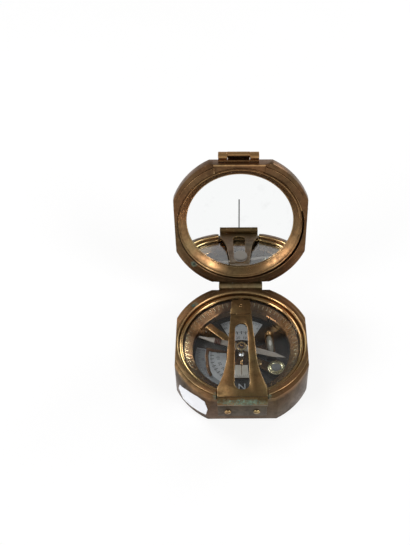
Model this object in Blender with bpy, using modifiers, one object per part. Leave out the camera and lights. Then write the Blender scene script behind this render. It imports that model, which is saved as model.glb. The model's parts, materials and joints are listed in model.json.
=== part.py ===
"""Brass pocket transit: a sighting compass with a mirror lid, a folding sight arm and a clinometer.

The case axis is vertical, the lid hinge is at the back (+Y) and the sight arm folds from the front (-Y).
The model stands with its lid open, and its origin is under the middle of its footprint.
"""
import math

import bmesh
import bpy
from mathutils import Matrix, Vector

MM = 0.001

# Case, seen from above: flats on four sides joined by drafted corner arcs
CASE_WIDTH = 75.0 * MM
CASE_LENGTH = 77.0 * MM
CASE_HEIGHT = 22.5 * MM
SIDE_FLAT = 33.4 * MM
FRONT_FLAT = 34.4 * MM
CORNER_DRAFT = 1.04 * MM
EDGE_CHAMFER = 0.6 * MM
CASE_WALL = 1.5 * MM
RIM_WIDTH = 3.4 * MM
RIM_STEP = 0.7 * MM
GLASS_SHELF = 2.8 * MM
RING_SHELF = 3.0 * MM
BASE_THICKNESS = 5.0 * MM
RING_LEDGE = 9.6 * MM
GLASS_LEDGE = 17.4 * MM
CRANK_RECESS_RADIUS = 17.0 * MM
CRANK_RECESS_DEPTH = 3.2 * MM
NOTCH_SIDE_GAP = 0.9 * MM

# Clearances
SEAT = 0.15 * MM
RUN = 0.25 * MM
KNUCKLE_TUCK = 0.06 * MM

# Dial
DIAL_THICKNESS = 0.7 * MM
SCALE_THICKNESS = 0.35 * MM
SCALE_INNER = 12.0 * MM
SCALE_MARGIN = 3.2 * MM
DEGREE_SCALE_AZIMUTH = 203.0
DEGREE_SCALE_SPAN = 74.0
PERCENT_SCALE_AZIMUTH = 89.0
PERCENT_SCALE_SPAN = 56.0
GLASS_THICKNESS = 1.4 * MM
BEZEL_HEIGHT = 1.5 * MM
BEZEL_WIDTH = 2.5 * MM
BEZEL_LIP = 0.675 * MM

# Graduated ring and the pinion that turns it
RING_WIDTH = 4.75 * MM
RING_BEVEL = 0.6 * MM
RING_STEP = 7.5
RING_TOP = 14.4 * MM
RING_TEETH = 126
RING_TOOTH_DEPTH = 1.1 * MM
RING_TOOTHED_SPAN = 84.0
TOOTH_INSET = 1.7 * MM
RING_TOOTH_ROOT = 0.34
RING_TOOTH_CREST = 0.09
PINION_TEETH = 8
PINION_TOOTH_ROOT = 0.26
PINION_TOOTH_CREST = 0.08
PINION_TIP = 0.40 * MM
PINION_ROOT = 0.62 * MM
PINION_LENGTH = 2.0 * MM
ARBOR_RADIUS = 1.2 * MM
PINION_HEAD_RADIUS = 2.6 * MM
PINION_HEAD_LENGTH = 1.3 * MM
SLOT_WIDTH = 0.6 * MM
SLOT_DEPTH = 0.5 * MM

# Clinometer
SHAFT_RADIUS = 1.6 * MM
BUSH_WALL = 1.2 * MM
BUSH_FLANGE_RADIUS = 4.6 * MM
BUSH_FLANGE_THICKNESS = 0.5 * MM
SHAFT_FLANGE_RADIUS = 3.8 * MM
SHAFT_FLANGE_THICKNESS = 0.7 * MM
ARM_PLATE_THICKNESS = 0.8 * MM
ARM_HUB_RADIUS = 4.6 * MM
VERNIER_REACH = 16.4 * MM
VERNIER_WIDTH = 9.0 * MM
VERNIER_NECK = 6.0 * MM
LEVEL_X = 16.9 * MM
LEVEL_Y = 5.3 * MM
LEVEL_TILT = 4.0
VIAL_RADIUS = 1.8 * MM
VIAL_LENGTH = 14.0 * MM
VIAL_DOME = 1.08 * MM
HOLDER_RISE = 0.54 * MM
HOLDER_WALL = 0.5 * MM
HOLDER_END = 1.6 * MM
BULLS_EYE_AZIMUTH = -29.4
BULLS_EYE_GAP = 0.75 * MM
BULLS_EYE_RADIUS = 4.6 * MM
BULLS_EYE_HEIGHT = 3.0 * MM
BULLS_EYE_RIM = 1.2 * MM
BULLS_EYE_FLOOR = 0.6 * MM
BULLS_EYE_CROWN = 0.65 * MM
CRANK_REACH = 13.5 * MM
CRANK_WIDTH = 6.0 * MM
CRANK_END_WIDTH = 4.5 * MM
CRANK_THICKNESS = 1.0 * MM
CRANK_KNOB_RADIUS = 2.0 * MM
CRANK_KNOB_HEIGHT = 0.9 * MM
CRANK_SCREW_RADIUS = 2.4 * MM
CRANK_SCREW_HEIGHT = 0.5 * MM

# Needle
PIVOT_RADIUS = 0.8 * MM
PIVOT_TIP = 15.6 * MM
NEEDLE_TIP_GAP = 1.8 * MM
NEEDLE_WIDTH = 4.2 * MM
NEEDLE_POINT = 7.4 * MM
NEEDLE_SHOULDER_WIDTH = 3.4 * MM
NEEDLE_TAIL_GAP = 2.7 * MM
NEEDLE_TAIL_WIDTH = 1.4 * MM
NEEDLE_THICKNESS = 0.5 * MM
NEEDLE_BLADE_Z = 15.3 * MM
NEEDLE_AZIMUTH = -17.0
HUB_FLANGE_RADIUS = 3.0 * MM
HUB_FLANGE_THICKNESS = 0.5 * MM
HUB_NECK_RADIUS = 1.7 * MM
HUB_BORE_RADIUS = 1.1 * MM
HUB_TOP = 16.9 * MM
CAP_RADIUS = 3.1 * MM
CAP_HEIGHT = 0.8 * MM
JEWEL_HEIGHT = 0.5 * MM
COIL_TURNS = 4
COIL_POINTS = 10
COIL_PITCH = 1.0 * MM
COIL_WIRE = 0.5 * MM
COIL_PLACE = 14.0 * MM
COIL_SIDE_GAP = 0.4 * MM
COIL_FACE_GAP = 0.5 * MM

# Needle lifter
LIFT_AZIMUTH = 137.5
LIFT_PIN_INSET = 2.1 * MM
LIFT_PIN_RADIUS = 1.0 * MM
LIFT_PIN_PROUD = 0.2 * MM
LEVER_WIDTH = 4.0 * MM
LEVER_THICKNESS = 0.8 * MM
LEVER_TOP = 13.2 * MM
LEVER_LOW_TOP = 8.8 * MM
LEVER_PIVOT_INSET = 4.6 * MM
LEVER_PIVOT_Z = 10.6 * MM
LEVER_BLOCK = 2.4 * MM
LEVER_FORK_GAP = 2.4 * MM
LEVER_FORK_REACH = 2.0 * MM
LEVER_TAIL = 1.4 * MM
LEVER_DROP = 1.6 * MM
BRACKET_WALL = 0.7 * MM
BRACKET_CROWN = 1.4 * MM
LIFT_PIVOT_RADIUS = 0.7 * MM
SPRING_THICKNESS = 0.3 * MM
SPRING_WIDTH = 3.0 * MM
SPRING_REACH = 1.8 * MM
SPRING_FOOT = 0.6 * MM
SPRING_GAP = 0.4 * MM

# Rear hinge and lid
LID_OPEN = 103.0
REAR_HINGE_RADIUS = 2.2 * MM
REAR_HINGE_WIDTH = 26.0 * MM
REAR_CENTRE_KNUCKLE = 9.6 * MM
REAR_LEAF_HEIGHT = 9.0 * MM
LEAF_THICKNESS = 0.8 * MM
HINGE_PIN_RADIUS = 0.9 * MM
SCREW_RADIUS = 1.9 * MM
SCREW_HEAD = 0.6 * MM
SCREW_SHANK = 0.8 * MM
LID_SCREW_RADIUS = 1.2 * MM
REAR_SCREW_SPACING = 15.0 * MM
LID_HEIGHT = 8.0 * MM
LID_WALL = 5.4 * MM
LID_SHOULDER = 3.0 * MM
LID_TOP = 1.0 * MM
LID_GAP = 0.3 * MM
LID_NOTCH_DEPTH = 1.2 * MM
LID_NOTCH_LIP = 0.9 * MM
MIRROR_DEPTH = 5.4 * MM
MIRROR_THICKNESS = 1.4 * MM
MIRROR_GROOVE = 1.5 * MM
MIRROR_RING_WIDTH = 3.8 * MM
MIRROR_RING_FLANGE = 0.9 * MM
MIRROR_RING_RECESS = 1.8 * MM
MIRROR_RING_EASE = 0.5 * MM
MIRROR_RING_LIP = 0.4 * MM
MIRROR_RING_BULGE = 0.25 * MM
WINDOW_RADIUS = 4.1 * MM
WINDOW_INSET = 7.5 * MM

# Sight arm on the front hinge
FRONT_HINGE_RADIUS = 2.5 * MM
FRONT_HINGE_WIDTH = 27.0 * MM
FRONT_HINGE_Z = 23.3 * MM
ARM_KNUCKLE = 17.0 * MM
FRONT_LEAF_LOW = 5.0 * MM
FRONT_SCREW_SPACING = 16.0 * MM
FRONT_SCREW_Z = 9.2 * MM
ARM_THICKNESS = 1.2 * MM
ARM_TIP_GAP = 0.4 * MM
ARM_TIP_POINT = 2.7 * MM
ARM_TIP_WIDTH = 11.0 * MM
ARM_TIP_CORNER = 1.2 * MM
ARM_TIP_PEAK = 1.9 * MM
ARM_TAPER = 0.137
ARM_FLARE = 7.0 * MM
ARM_FLARE_START = -10.0 * MM
ARM_FLARE_LENGTH = 20.5 * MM
ARM_SLOT_TOP = 12.8 * MM
ARM_SLOT_MARGIN = 5.5 * MM
ARM_SLOT_TOP_WIDTH = 7.2 * MM
ARM_SLOT_BOTTOM_WIDTH = 8.6 * MM
PEEP_PLACE = 19.0 * MM
PEEP_KNUCKLE_RADIUS = 1.1 * MM
PEEP_KNUCKLE = 5.4 * MM
PEEP_PIN_RADIUS = 0.5 * MM
PEEP_HOLE_RADIUS = 0.8 * MM
PEEP_HOLE_PLACE = 27.5 * MM

# Lid sight on the lid's free edge
LID_SIGHT_SHIFT = -1.2 * MM
LID_SIGHT_RADIUS = 2.2 * MM
LID_SIGHT_WIDTH = 22.0 * MM
LID_SIGHT_KNUCKLE = 12.0 * MM
LID_SIGHT_Z = 5.6 * MM
LID_SIGHT_LAP = 0.48 * MM
LID_SIGHT_REACH = 17.0 * MM
LID_SIGHT_TIP = 7.0 * MM
VANE_THICKNESS = 0.8 * MM
VANE_BEND = 5.0 * MM
VANE_SLOT_WIDTH = 2.0 * MM
VANE_SLOT_LENGTH = 8.0 * MM

ARC_STEPS = 8
TURN_STEPS = 48
FINE_STEPS = 20
SMALL_STEPS = 16

# Derived places
HALF_WIDTH = CASE_WIDTH / 2
HALF_LENGTH = CASE_LENGTH / 2
BEZEL_BORE = min(HALF_WIDTH, HALF_LENGTH) - CASE_WALL
RIM_RADIUS = BEZEL_BORE + RIM_WIDTH
DIAL_BORE = BEZEL_BORE - GLASS_SHELF
FLOOR_BORE = DIAL_BORE - RING_SHELF
SCALE_OUTER = FLOOR_BORE - SCALE_MARGIN
BEZEL_INNER = BEZEL_BORE - BEZEL_WIDTH
LIFT_PIN_PLACE = BEZEL_BORE + LIFT_PIN_INSET
LEVER_PIVOT_PLACE = FLOOR_BORE - LEVER_PIVOT_INSET
MIRROR_RING_RADIUS = BEZEL_BORE - MIRROR_GROOVE
MIRROR_RADIUS = MIRROR_RING_RADIUS - MIRROR_RING_WIDTH
WINDOW_PLACE = MIRROR_RADIUS - WINDOW_INSET
ARM_TIP_PLACE = BEZEL_INNER - ARM_TIP_GAP
ARM_SLOT_BOTTOM = ARM_SLOT_MARGIN - HALF_LENGTH
LID_RIM = CASE_HEIGHT + LID_GAP
REAR_HINGE_Y = HALF_LENGTH + SEAT + KNUCKLE_TUCK + REAR_HINGE_RADIUS
FRONT_HINGE_Y = -(HALF_LENGTH + SEAT + KNUCKLE_TUCK + FRONT_HINGE_RADIUS)
LID_SIGHT_Y = -(HALF_LENGTH + SEAT + KNUCKLE_TUCK + LID_SIGHT_RADIUS)
ARM_LOW = FRONT_HINGE_Z - FRONT_HINGE_RADIUS + KNUCKLE_TUCK
ARM_TOP = ARM_LOW + ARM_THICKNESS
PEEP_Z = ARM_LOW + ARM_THICKNESS / 2
GLASS_LOW = GLASS_LEDGE + SEAT
BEZEL_LOW = GLASS_LOW + GLASS_THICKNESS + SEAT
DIAL_LOW = BASE_THICKNESS + SEAT
DIAL_TOP = DIAL_LOW + DIAL_THICKNESS
SHAFT_FLANGE_LOW = DIAL_TOP + RUN
ARM_PLATE_LOW = SHAFT_FLANGE_LOW + SHAFT_FLANGE_THICKNESS + SEAT
ARM_PLATE_TOP = ARM_PLATE_LOW + ARM_PLATE_THICKNESS
RING_LOW = RING_LEDGE + RUN
RING_OUTER = DIAL_BORE - RUN
RING_INNER = RING_OUTER - RING_WIDTH
NEEDLE_REACH = RING_INNER - NEEDLE_TIP_GAP
NEEDLE_SHOULDER = NEEDLE_REACH - NEEDLE_POINT
NEEDLE_TAIL = RING_INNER - NEEDLE_TAIL_GAP
TOOTH_PITCH_RADIUS = DIAL_BORE - TOOTH_INSET
TOOTH_MODULE = 2 * TOOTH_PITCH_RADIUS / RING_TEETH
PINION_PITCH_RADIUS = TOOTH_MODULE * PINION_TEETH / 2
PINION_Z = RING_LOW + RING_TOOTH_DEPTH / 2 - PINION_PITCH_RADIUS
BUSH_FLANGE_LOW = CRANK_RECESS_DEPTH - SEAT - BUSH_FLANGE_THICKNESS
CRANK_LOW = BUSH_FLANGE_LOW - RUN - CRANK_THICKNESS

parts = bpy.data.collections.new("pocket_transit")
cutters = bpy.data.collections.new("cutters")
pivots = {}


def clear_scene():
    for old in list(bpy.data.objects):
        bpy.data.objects.remove(old, do_unlink=True)
    bpy.context.scene.collection.children.link(parts)
    bpy.context.scene.collection.children.link(cutters)


def metal(name, color, roughness, metallic):
    finish = bpy.data.materials.new(name)
    finish.use_nodes = True
    shader = finish.node_tree.nodes["Principled BSDF"]
    shader.inputs["Base Color"].default_value = (*color, 1.0)
    shader.inputs["Roughness"].default_value = roughness
    shader.inputs["Metallic"].default_value = metallic
    return finish


def add_pivot(name, place, turn=0.0, parent=None):
    """An empty on a joint's axis, turned about X by so many degrees."""
    empty = bpy.data.objects.new(name + "_axis", None)
    parts.objects.link(empty)
    origin = pivots[parent][1] if parent else Vector((0, 0, 0))
    empty.parent = pivots[parent][0] if parent else None
    empty.location = Vector(place) - origin
    empty.rotation_euler.x = math.radians(turn)
    pivots[name] = (empty, Vector(place))


def part(obj, name, body, finish):
    """Name a finished piece, hang it on its body's pivot and give it its material."""
    empty, origin = pivots[body]
    obj.name = name
    obj.parent = empty
    obj.location = obj.location - origin
    obj.data.materials.clear()
    obj.data.materials.append(finish)
    obj.data.shade_smooth()
    obj.data.set_sharp_from_angle(angle=math.radians(35))
    return obj


def mesh_object(build):
    obj = bpy.data.objects.new("piece", bpy.data.meshes.new("piece"))
    build.to_mesh(obj.data)
    build.free()
    parts.objects.link(obj)
    return obj


def evaluated_mesh(obj):
    """Replace an object that has modifiers, or a curve, by its welded mesh at the same place."""
    graph = bpy.context.evaluated_depsgraph_get()
    mesh = bpy.data.meshes.new_from_object(obj.evaluated_get(graph))
    build = bmesh.new()
    build.from_mesh(mesh)
    bmesh.ops.remove_doubles(build, verts=build.verts, dist=1e-7)
    build.to_mesh(mesh)
    build.free()
    solid = bpy.data.objects.new("piece", mesh)
    solid.matrix_world = obj.matrix_world
    parts.objects.link(solid)
    bpy.data.objects.remove(obj, do_unlink=True)
    return solid


def turned(profile, steps, centre=(0, 0, 0), closed=False):
    """Turn a profile of (radius, height) points about Z; it runs down its outer side."""
    mesh = bpy.data.meshes.new("profile")
    edges = [(i, i + 1) for i in range(len(profile) - 1)]
    if closed:
        edges.append((len(profile) - 1, 0))
    mesh.from_pydata([(r, 0, z) for r, z in profile], edges, [])
    obj = bpy.data.objects.new("profile", mesh)
    parts.objects.link(obj)
    screw = obj.modifiers.new("turn", "SCREW")
    screw.steps = steps
    screw.render_steps = steps
    screw.use_merge_vertices = True
    screw.merge_threshold = 1e-6
    obj.location = centre
    bpy.context.view_layer.update()
    return evaluated_mesh(obj)


def tube(outer, inner, low, high, steps, centre=(0, 0, 0)):
    return turned([(outer, high), (outer, low), (inner, low), (inner, high)], steps, centre, closed=True)


def rod(radius, low, high, steps, centre=(0, 0, 0)):
    return turned([(0, high), (radius, high), (radius, low), (0, low)], steps, centre)


def along_x(obj, centre):
    """Lay a piece that was turned about Z along X at a place."""
    obj.data.transform(Matrix.Rotation(math.radians(90), 4, "Y"))
    obj.location = centre
    bpy.context.view_layer.update()
    return obj


def plate(outlines, low, high):
    """A flat plate between two heights, from an outline and the outlines of its holes."""
    curve = bpy.data.curves.new("outline", "CURVE")
    curve.dimensions = "2D"
    curve.fill_mode = "BOTH"
    curve.extrude = (high - low) / 2
    for outline in outlines:
        spline = curve.splines.new("POLY")
        spline.points.add(len(outline) - 1)
        spline.use_cyclic_u = True
        for point, (x, y) in zip(spline.points, outline):
            point.co = (x, y, 0, 1)
    obj = bpy.data.objects.new("outline", curve)
    parts.objects.link(obj)
    obj.location = (0, 0, (low + high) / 2)
    bpy.context.view_layer.update()
    return evaluated_mesh(obj)


def side_profile(outlines, half_width, turn=0.0):
    """A plate on edge: (run, height) outlines run along X, are thick along Y and are then turned about Z."""
    obj = plate(outlines, -half_width, half_width)
    obj.data.transform(Matrix.Rotation(math.radians(90), 4, "X"))
    obj.rotation_euler.z = math.radians(turn)
    bpy.context.view_layer.update()
    return obj


def box(low, high):
    build = bmesh.new()
    middle = (Vector(low) + Vector(high)) / 2
    size = Vector(high) - Vector(low)
    bmesh.ops.create_cube(build, size=1.0, matrix=Matrix.Translation(middle) @ Matrix.Diagonal((*size, 1)))
    return mesh_object(build)


def loft(levels):
    """Join outlines of equal counts, from the lowest up, into one closed solid."""
    build = bmesh.new()
    rows = [[build.verts.new((x, y, z)) for x, y in outline] for outline, z in levels]
    count = len(rows[0])
    for low, high in zip(rows, rows[1:]):
        for i in range(count):
            j = (i + 1) % count
            build.faces.new((low[i], low[j], high[j], high[i]))
    build.faces.new(reversed(rows[0]))
    build.faces.new(rows[-1])
    return mesh_object(build)


def combine(target, tool, operation):
    """Cut a tool from a piece, or add it; the tool rides on the piece, put away with the cutters."""
    change = target.modifiers.new(operation.lower(), "BOOLEAN")
    change.operation = operation
    change.object = tool
    tool.parent = target
    tool.matrix_parent_inverse = target.matrix_world.inverted()
    parts.objects.unlink(tool)
    cutters.objects.link(tool)
    tool.name = "cutter"
    tool.hide_render = True
    tool.display_type = "WIRE"
    return target


def cut(target, *tools):
    for tool in tools:
        combine(target, tool, "DIFFERENCE")
    return target


def add(target, *tools):
    for tool in tools:
        combine(target, tool, "UNION")
    return target


def polar(radius, azimuth):
    return radius * math.cos(math.radians(azimuth)), radius * math.sin(math.radians(azimuth))


def arc(radius, start, stop, steps, centre=(0, 0)):
    points = []
    for i in range(steps + 1):
        x, y = polar(radius, start + (stop - start) * i / steps)
        points.append((centre[0] + x, centre[1] + y))
    return points


def circle(radius, steps, centre=(0, 0)):
    return arc(radius, 0, 360 - 360 / steps, steps - 1, centre)


def sector(inner, outer, azimuth, span):
    start, stop = azimuth - span / 2, azimuth + span / 2
    return arc(outer, start, stop, ARC_STEPS * 2) + arc(inner, stop, start, ARC_STEPS * 2)


def case_outline(growth, inset):
    """The case seen from above, its corner arcs grown by the draft and all of it drawn in by an inset."""
    side, front = SIDE_FLAT / 2, FRONT_FLAT / 2
    offset = (front**2 + HALF_LENGTH**2 - HALF_WIDTH**2 - side**2) / (2 * (HALF_LENGTH - side))
    radius = math.hypot(HALF_WIDTH, side - offset) + growth - inset
    half_width, half_length = HALF_WIDTH - inset, HALF_LENGTH - inset
    start = math.degrees(math.acos(half_width / radius))
    stop = math.degrees(math.asin((half_length - offset) / radius))
    quarter = arc(radius, start, stop, ARC_STEPS, (0, offset))
    back = quarter + [(-x, y) for x, y in reversed(quarter)]
    return back + [(-x, -y) for x, y in back]


def hinge_rod(radius, width, centre):
    """A pin, or the cutter for its bore, along X."""
    return along_x(rod(radius, -width / 2, width / 2, SMALL_STEPS), centre)


def knuckle_rod(radius, width, centre):
    """A hinge knuckle along X, its ends tucked just inside the web that carries it."""
    half = width / 2 - KNUCKLE_TUCK
    return along_x(rod(radius, -half, half, FINE_STEPS), centre)


def beam(start, end, width, low, high):
    """A straight flat bar between two points, square at its ends."""
    run = (Vector(end) - Vector(start)).normalized() * (width / 2)
    side = Vector((-run.y, run.x))
    corners = [Vector(start) - side, Vector(end) - side, Vector(end) + side, Vector(start) + side]
    return plate([[tuple(c) for c in corners]], low, high)


def make_case(brass):
    top = CASE_HEIGHT + 2 * MM
    case = loft([
        (case_outline(CORNER_DRAFT, EDGE_CHAMFER), 0),
        (case_outline(CORNER_DRAFT, 0), EDGE_CHAMFER),
        (case_outline(0, 0), CASE_HEIGHT),
    ])
    cavity = turned([
        (0, top), (BEZEL_BORE, top), (BEZEL_BORE, GLASS_LEDGE), (DIAL_BORE, GLASS_LEDGE),
        (DIAL_BORE, RING_LEDGE), (FLOOR_BORE, RING_LEDGE), (FLOOR_BORE, BASE_THICKNESS), (0, BASE_THICKNESS),
    ], TURN_STEPS)
    lands = tube(CASE_LENGTH, RIM_RADIUS, CASE_HEIGHT - RIM_STEP, top, TURN_STEPS)
    recess = rod(CRANK_RECESS_RADIUS, -MM, CRANK_RECESS_DEPTH, TURN_STEPS)
    shaft_hole = rod(SHAFT_RADIUS + RUN + BUSH_WALL + SEAT, -MM, BASE_THICKNESS + MM, FINE_STEPS)
    half = FRONT_HINGE_WIDTH / 2 + NOTCH_SIDE_GAP
    inner = math.sqrt(BEZEL_BORE**2 - half**2) - MM
    notch = box((-half, -HALF_LENGTH - MM, ARM_LOW - RUN), (half, -inner, top))
    slot_low = LEVER_LOW_TOP - LEVER_THICKNESS - LEVER_DROP
    slot_high = LEVER_LOW_TOP + 2 * RUN
    slot_start = FLOOR_BORE - 2 * MM
    slot_end = LIFT_PIN_PLACE + LEVER_TAIL + RUN
    slot = [(slot_start, slot_low), (slot_end, slot_low), (slot_end, slot_high), (slot_start, slot_high)]
    lever_slot = side_profile([slot], LEVER_WIDTH / 2 + RUN, LIFT_AZIMUTH)
    pin_place = (*polar(LIFT_PIN_PLACE, LIFT_AZIMUTH), 0)
    pin_hole = rod(LIFT_PIN_RADIUS + RUN, slot_high - MM, top, SMALL_STEPS, pin_place)
    pocket_length = TOOTH_PITCH_RADIUS + PINION_LENGTH / 2 + RUN - (FLOOR_BORE - MM)
    pocket_radius = PINION_PITCH_RADIUS + PINION_TIP + RUN
    pocket = along_x(
        rod(pocket_radius, 0, pocket_length, FINE_STEPS), (FLOOR_BORE - MM, 0, PINION_Z)
    )
    arbor_hole = along_x(rod(ARBOR_RADIUS + RUN, 0, CASE_WIDTH / 4, SMALL_STEPS), (FLOOR_BORE, 0, PINION_Z))
    head_hole = along_x(
        rod(PINION_HEAD_RADIUS + RUN, -PINION_HEAD_LENGTH - RUN, MM, FINE_STEPS), (HALF_WIDTH, 0, PINION_Z)
    )
    cut(case, cavity, lands, recess, shaft_hole, notch, lever_slot, pin_hole, pocket, arbor_hole, head_hole)
    part(case, "case_body", "case", brass)


def make_dial(black, white, glass, gold):
    shaft_hole = circle(SHAFT_RADIUS + RUN, FINE_STEPS)
    dial = plate([circle(FLOOR_BORE - RUN, TURN_STEPS), shaft_hole], DIAL_LOW, DIAL_TOP)
    part(dial, "dial_plate", "case", black)
    low = DIAL_TOP + SEAT
    scales = {
        "degree_scale": (DEGREE_SCALE_AZIMUTH, DEGREE_SCALE_SPAN),
        "percent_scale": (PERCENT_SCALE_AZIMUTH, PERCENT_SCALE_SPAN),
    }
    for name, (azimuth, span) in scales.items():
        scale = plate([sector(SCALE_INNER, SCALE_OUTER, azimuth, span)], low, low + SCALE_THICKNESS)
        part(scale, name, "case", white)
    crystal = rod(BEZEL_BORE - RUN, GLASS_LOW, GLASS_LOW + GLASS_THICKNESS, TURN_STEPS)
    part(crystal, "crystal_glass", "case", glass)
    outer, top = BEZEL_BORE - RUN, BEZEL_LOW + BEZEL_HEIGHT
    rounded = arc(BEZEL_LIP, 180, 30, ARC_STEPS, (BEZEL_INNER + BEZEL_LIP, top - BEZEL_LIP))
    profile = [(outer, top - BEZEL_LIP), (outer, BEZEL_LOW), (BEZEL_INNER, BEZEL_LOW)] + rounded
    part(turned(profile, TURN_STEPS, closed=True), "bezel_ring", "case", gold)


def make_ring(gold):
    """The graduated ring: a swept section whose lower face carries gear teeth over part of the turn."""
    pitch = 360.0 / RING_TEETH
    teeth = int(RING_TOOTHED_SPAN / pitch)
    root = RING_LOW + RING_TOOTH_DEPTH
    stations = []
    for i in range(teeth):
        centre = (i - (teeth - 1) / 2) * pitch + (pitch / 2 if teeth % 2 else 0.0)
        flank = [(RING_TOOTH_CREST, RING_LOW), (RING_TOOTH_ROOT, root)]
        for share, height in [(-s, z) for s, z in reversed(flank)] + flank:
            stations.append((centre + share * pitch, height))
    first, last = stations[0][0], stations[-1][0]
    plain_steps = int((360 - last + first) / RING_STEP)
    for i in range(1, plain_steps):
        stations.append((last + (360 - last + first) * i / plain_steps, RING_LOW))
    build = bmesh.new()
    rows = []
    for azimuth, low in stations:
        section = [
            (RING_INNER, RING_TOP - RING_BEVEL), (RING_INNER + RING_BEVEL, RING_TOP),
            (RING_OUTER, RING_TOP), (RING_OUTER, low), (RING_INNER, low),
        ]
        rows.append([build.verts.new((*polar(r, azimuth), z)) for r, z in section])
    for row, after in zip(rows, rows[1:] + rows[:1]):
        for i in range(len(row)):
            j = (i + 1) % len(row)
            build.faces.new((row[i], row[j], after[j], after[i]))
    bmesh.ops.recalc_face_normals(build, faces=build.faces)
    part(mesh_object(build), "graduated_ring", "ring", gold)


def make_pinion(steel):
    pitch = 360.0 / PINION_TEETH
    tip = PINION_PITCH_RADIUS + PINION_TIP
    root = PINION_PITCH_RADIUS - PINION_ROOT
    outline = []
    for i in range(PINION_TEETH):
        flank = [(PINION_TOOTH_CREST, tip), (PINION_TOOTH_ROOT, root)]
        for share, radius in [(-s, r) for s, r in reversed(flank)] + flank:
            outline.append(polar(radius, (i + share) * pitch))
    gear = along_x(plate([outline], -PINION_LENGTH / 2, PINION_LENGTH / 2), (TOOTH_PITCH_RADIUS, 0, PINION_Z))
    head_start = HALF_WIDTH - PINION_HEAD_LENGTH
    arbor_start = TOOTH_PITCH_RADIUS
    arbor = turned([
        (0, HALF_WIDTH - arbor_start), (PINION_HEAD_RADIUS, HALF_WIDTH - arbor_start),
        (PINION_HEAD_RADIUS, head_start - arbor_start), (ARBOR_RADIUS, head_start - arbor_start),
        (ARBOR_RADIUS, 0), (0, 0),
    ], FINE_STEPS)
    add(gear, along_x(arbor, (arbor_start, 0, PINION_Z)))
    reach = PINION_HEAD_RADIUS * 2
    slot = box(
        (HALF_WIDTH - SLOT_DEPTH, -reach, PINION_Z - SLOT_WIDTH / 2),
        (HALF_WIDTH + MM, reach, PINION_Z + SLOT_WIDTH / 2),
    )
    part(cut(gear, slot), "adjusting_pinion", "pinion", steel)


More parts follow.
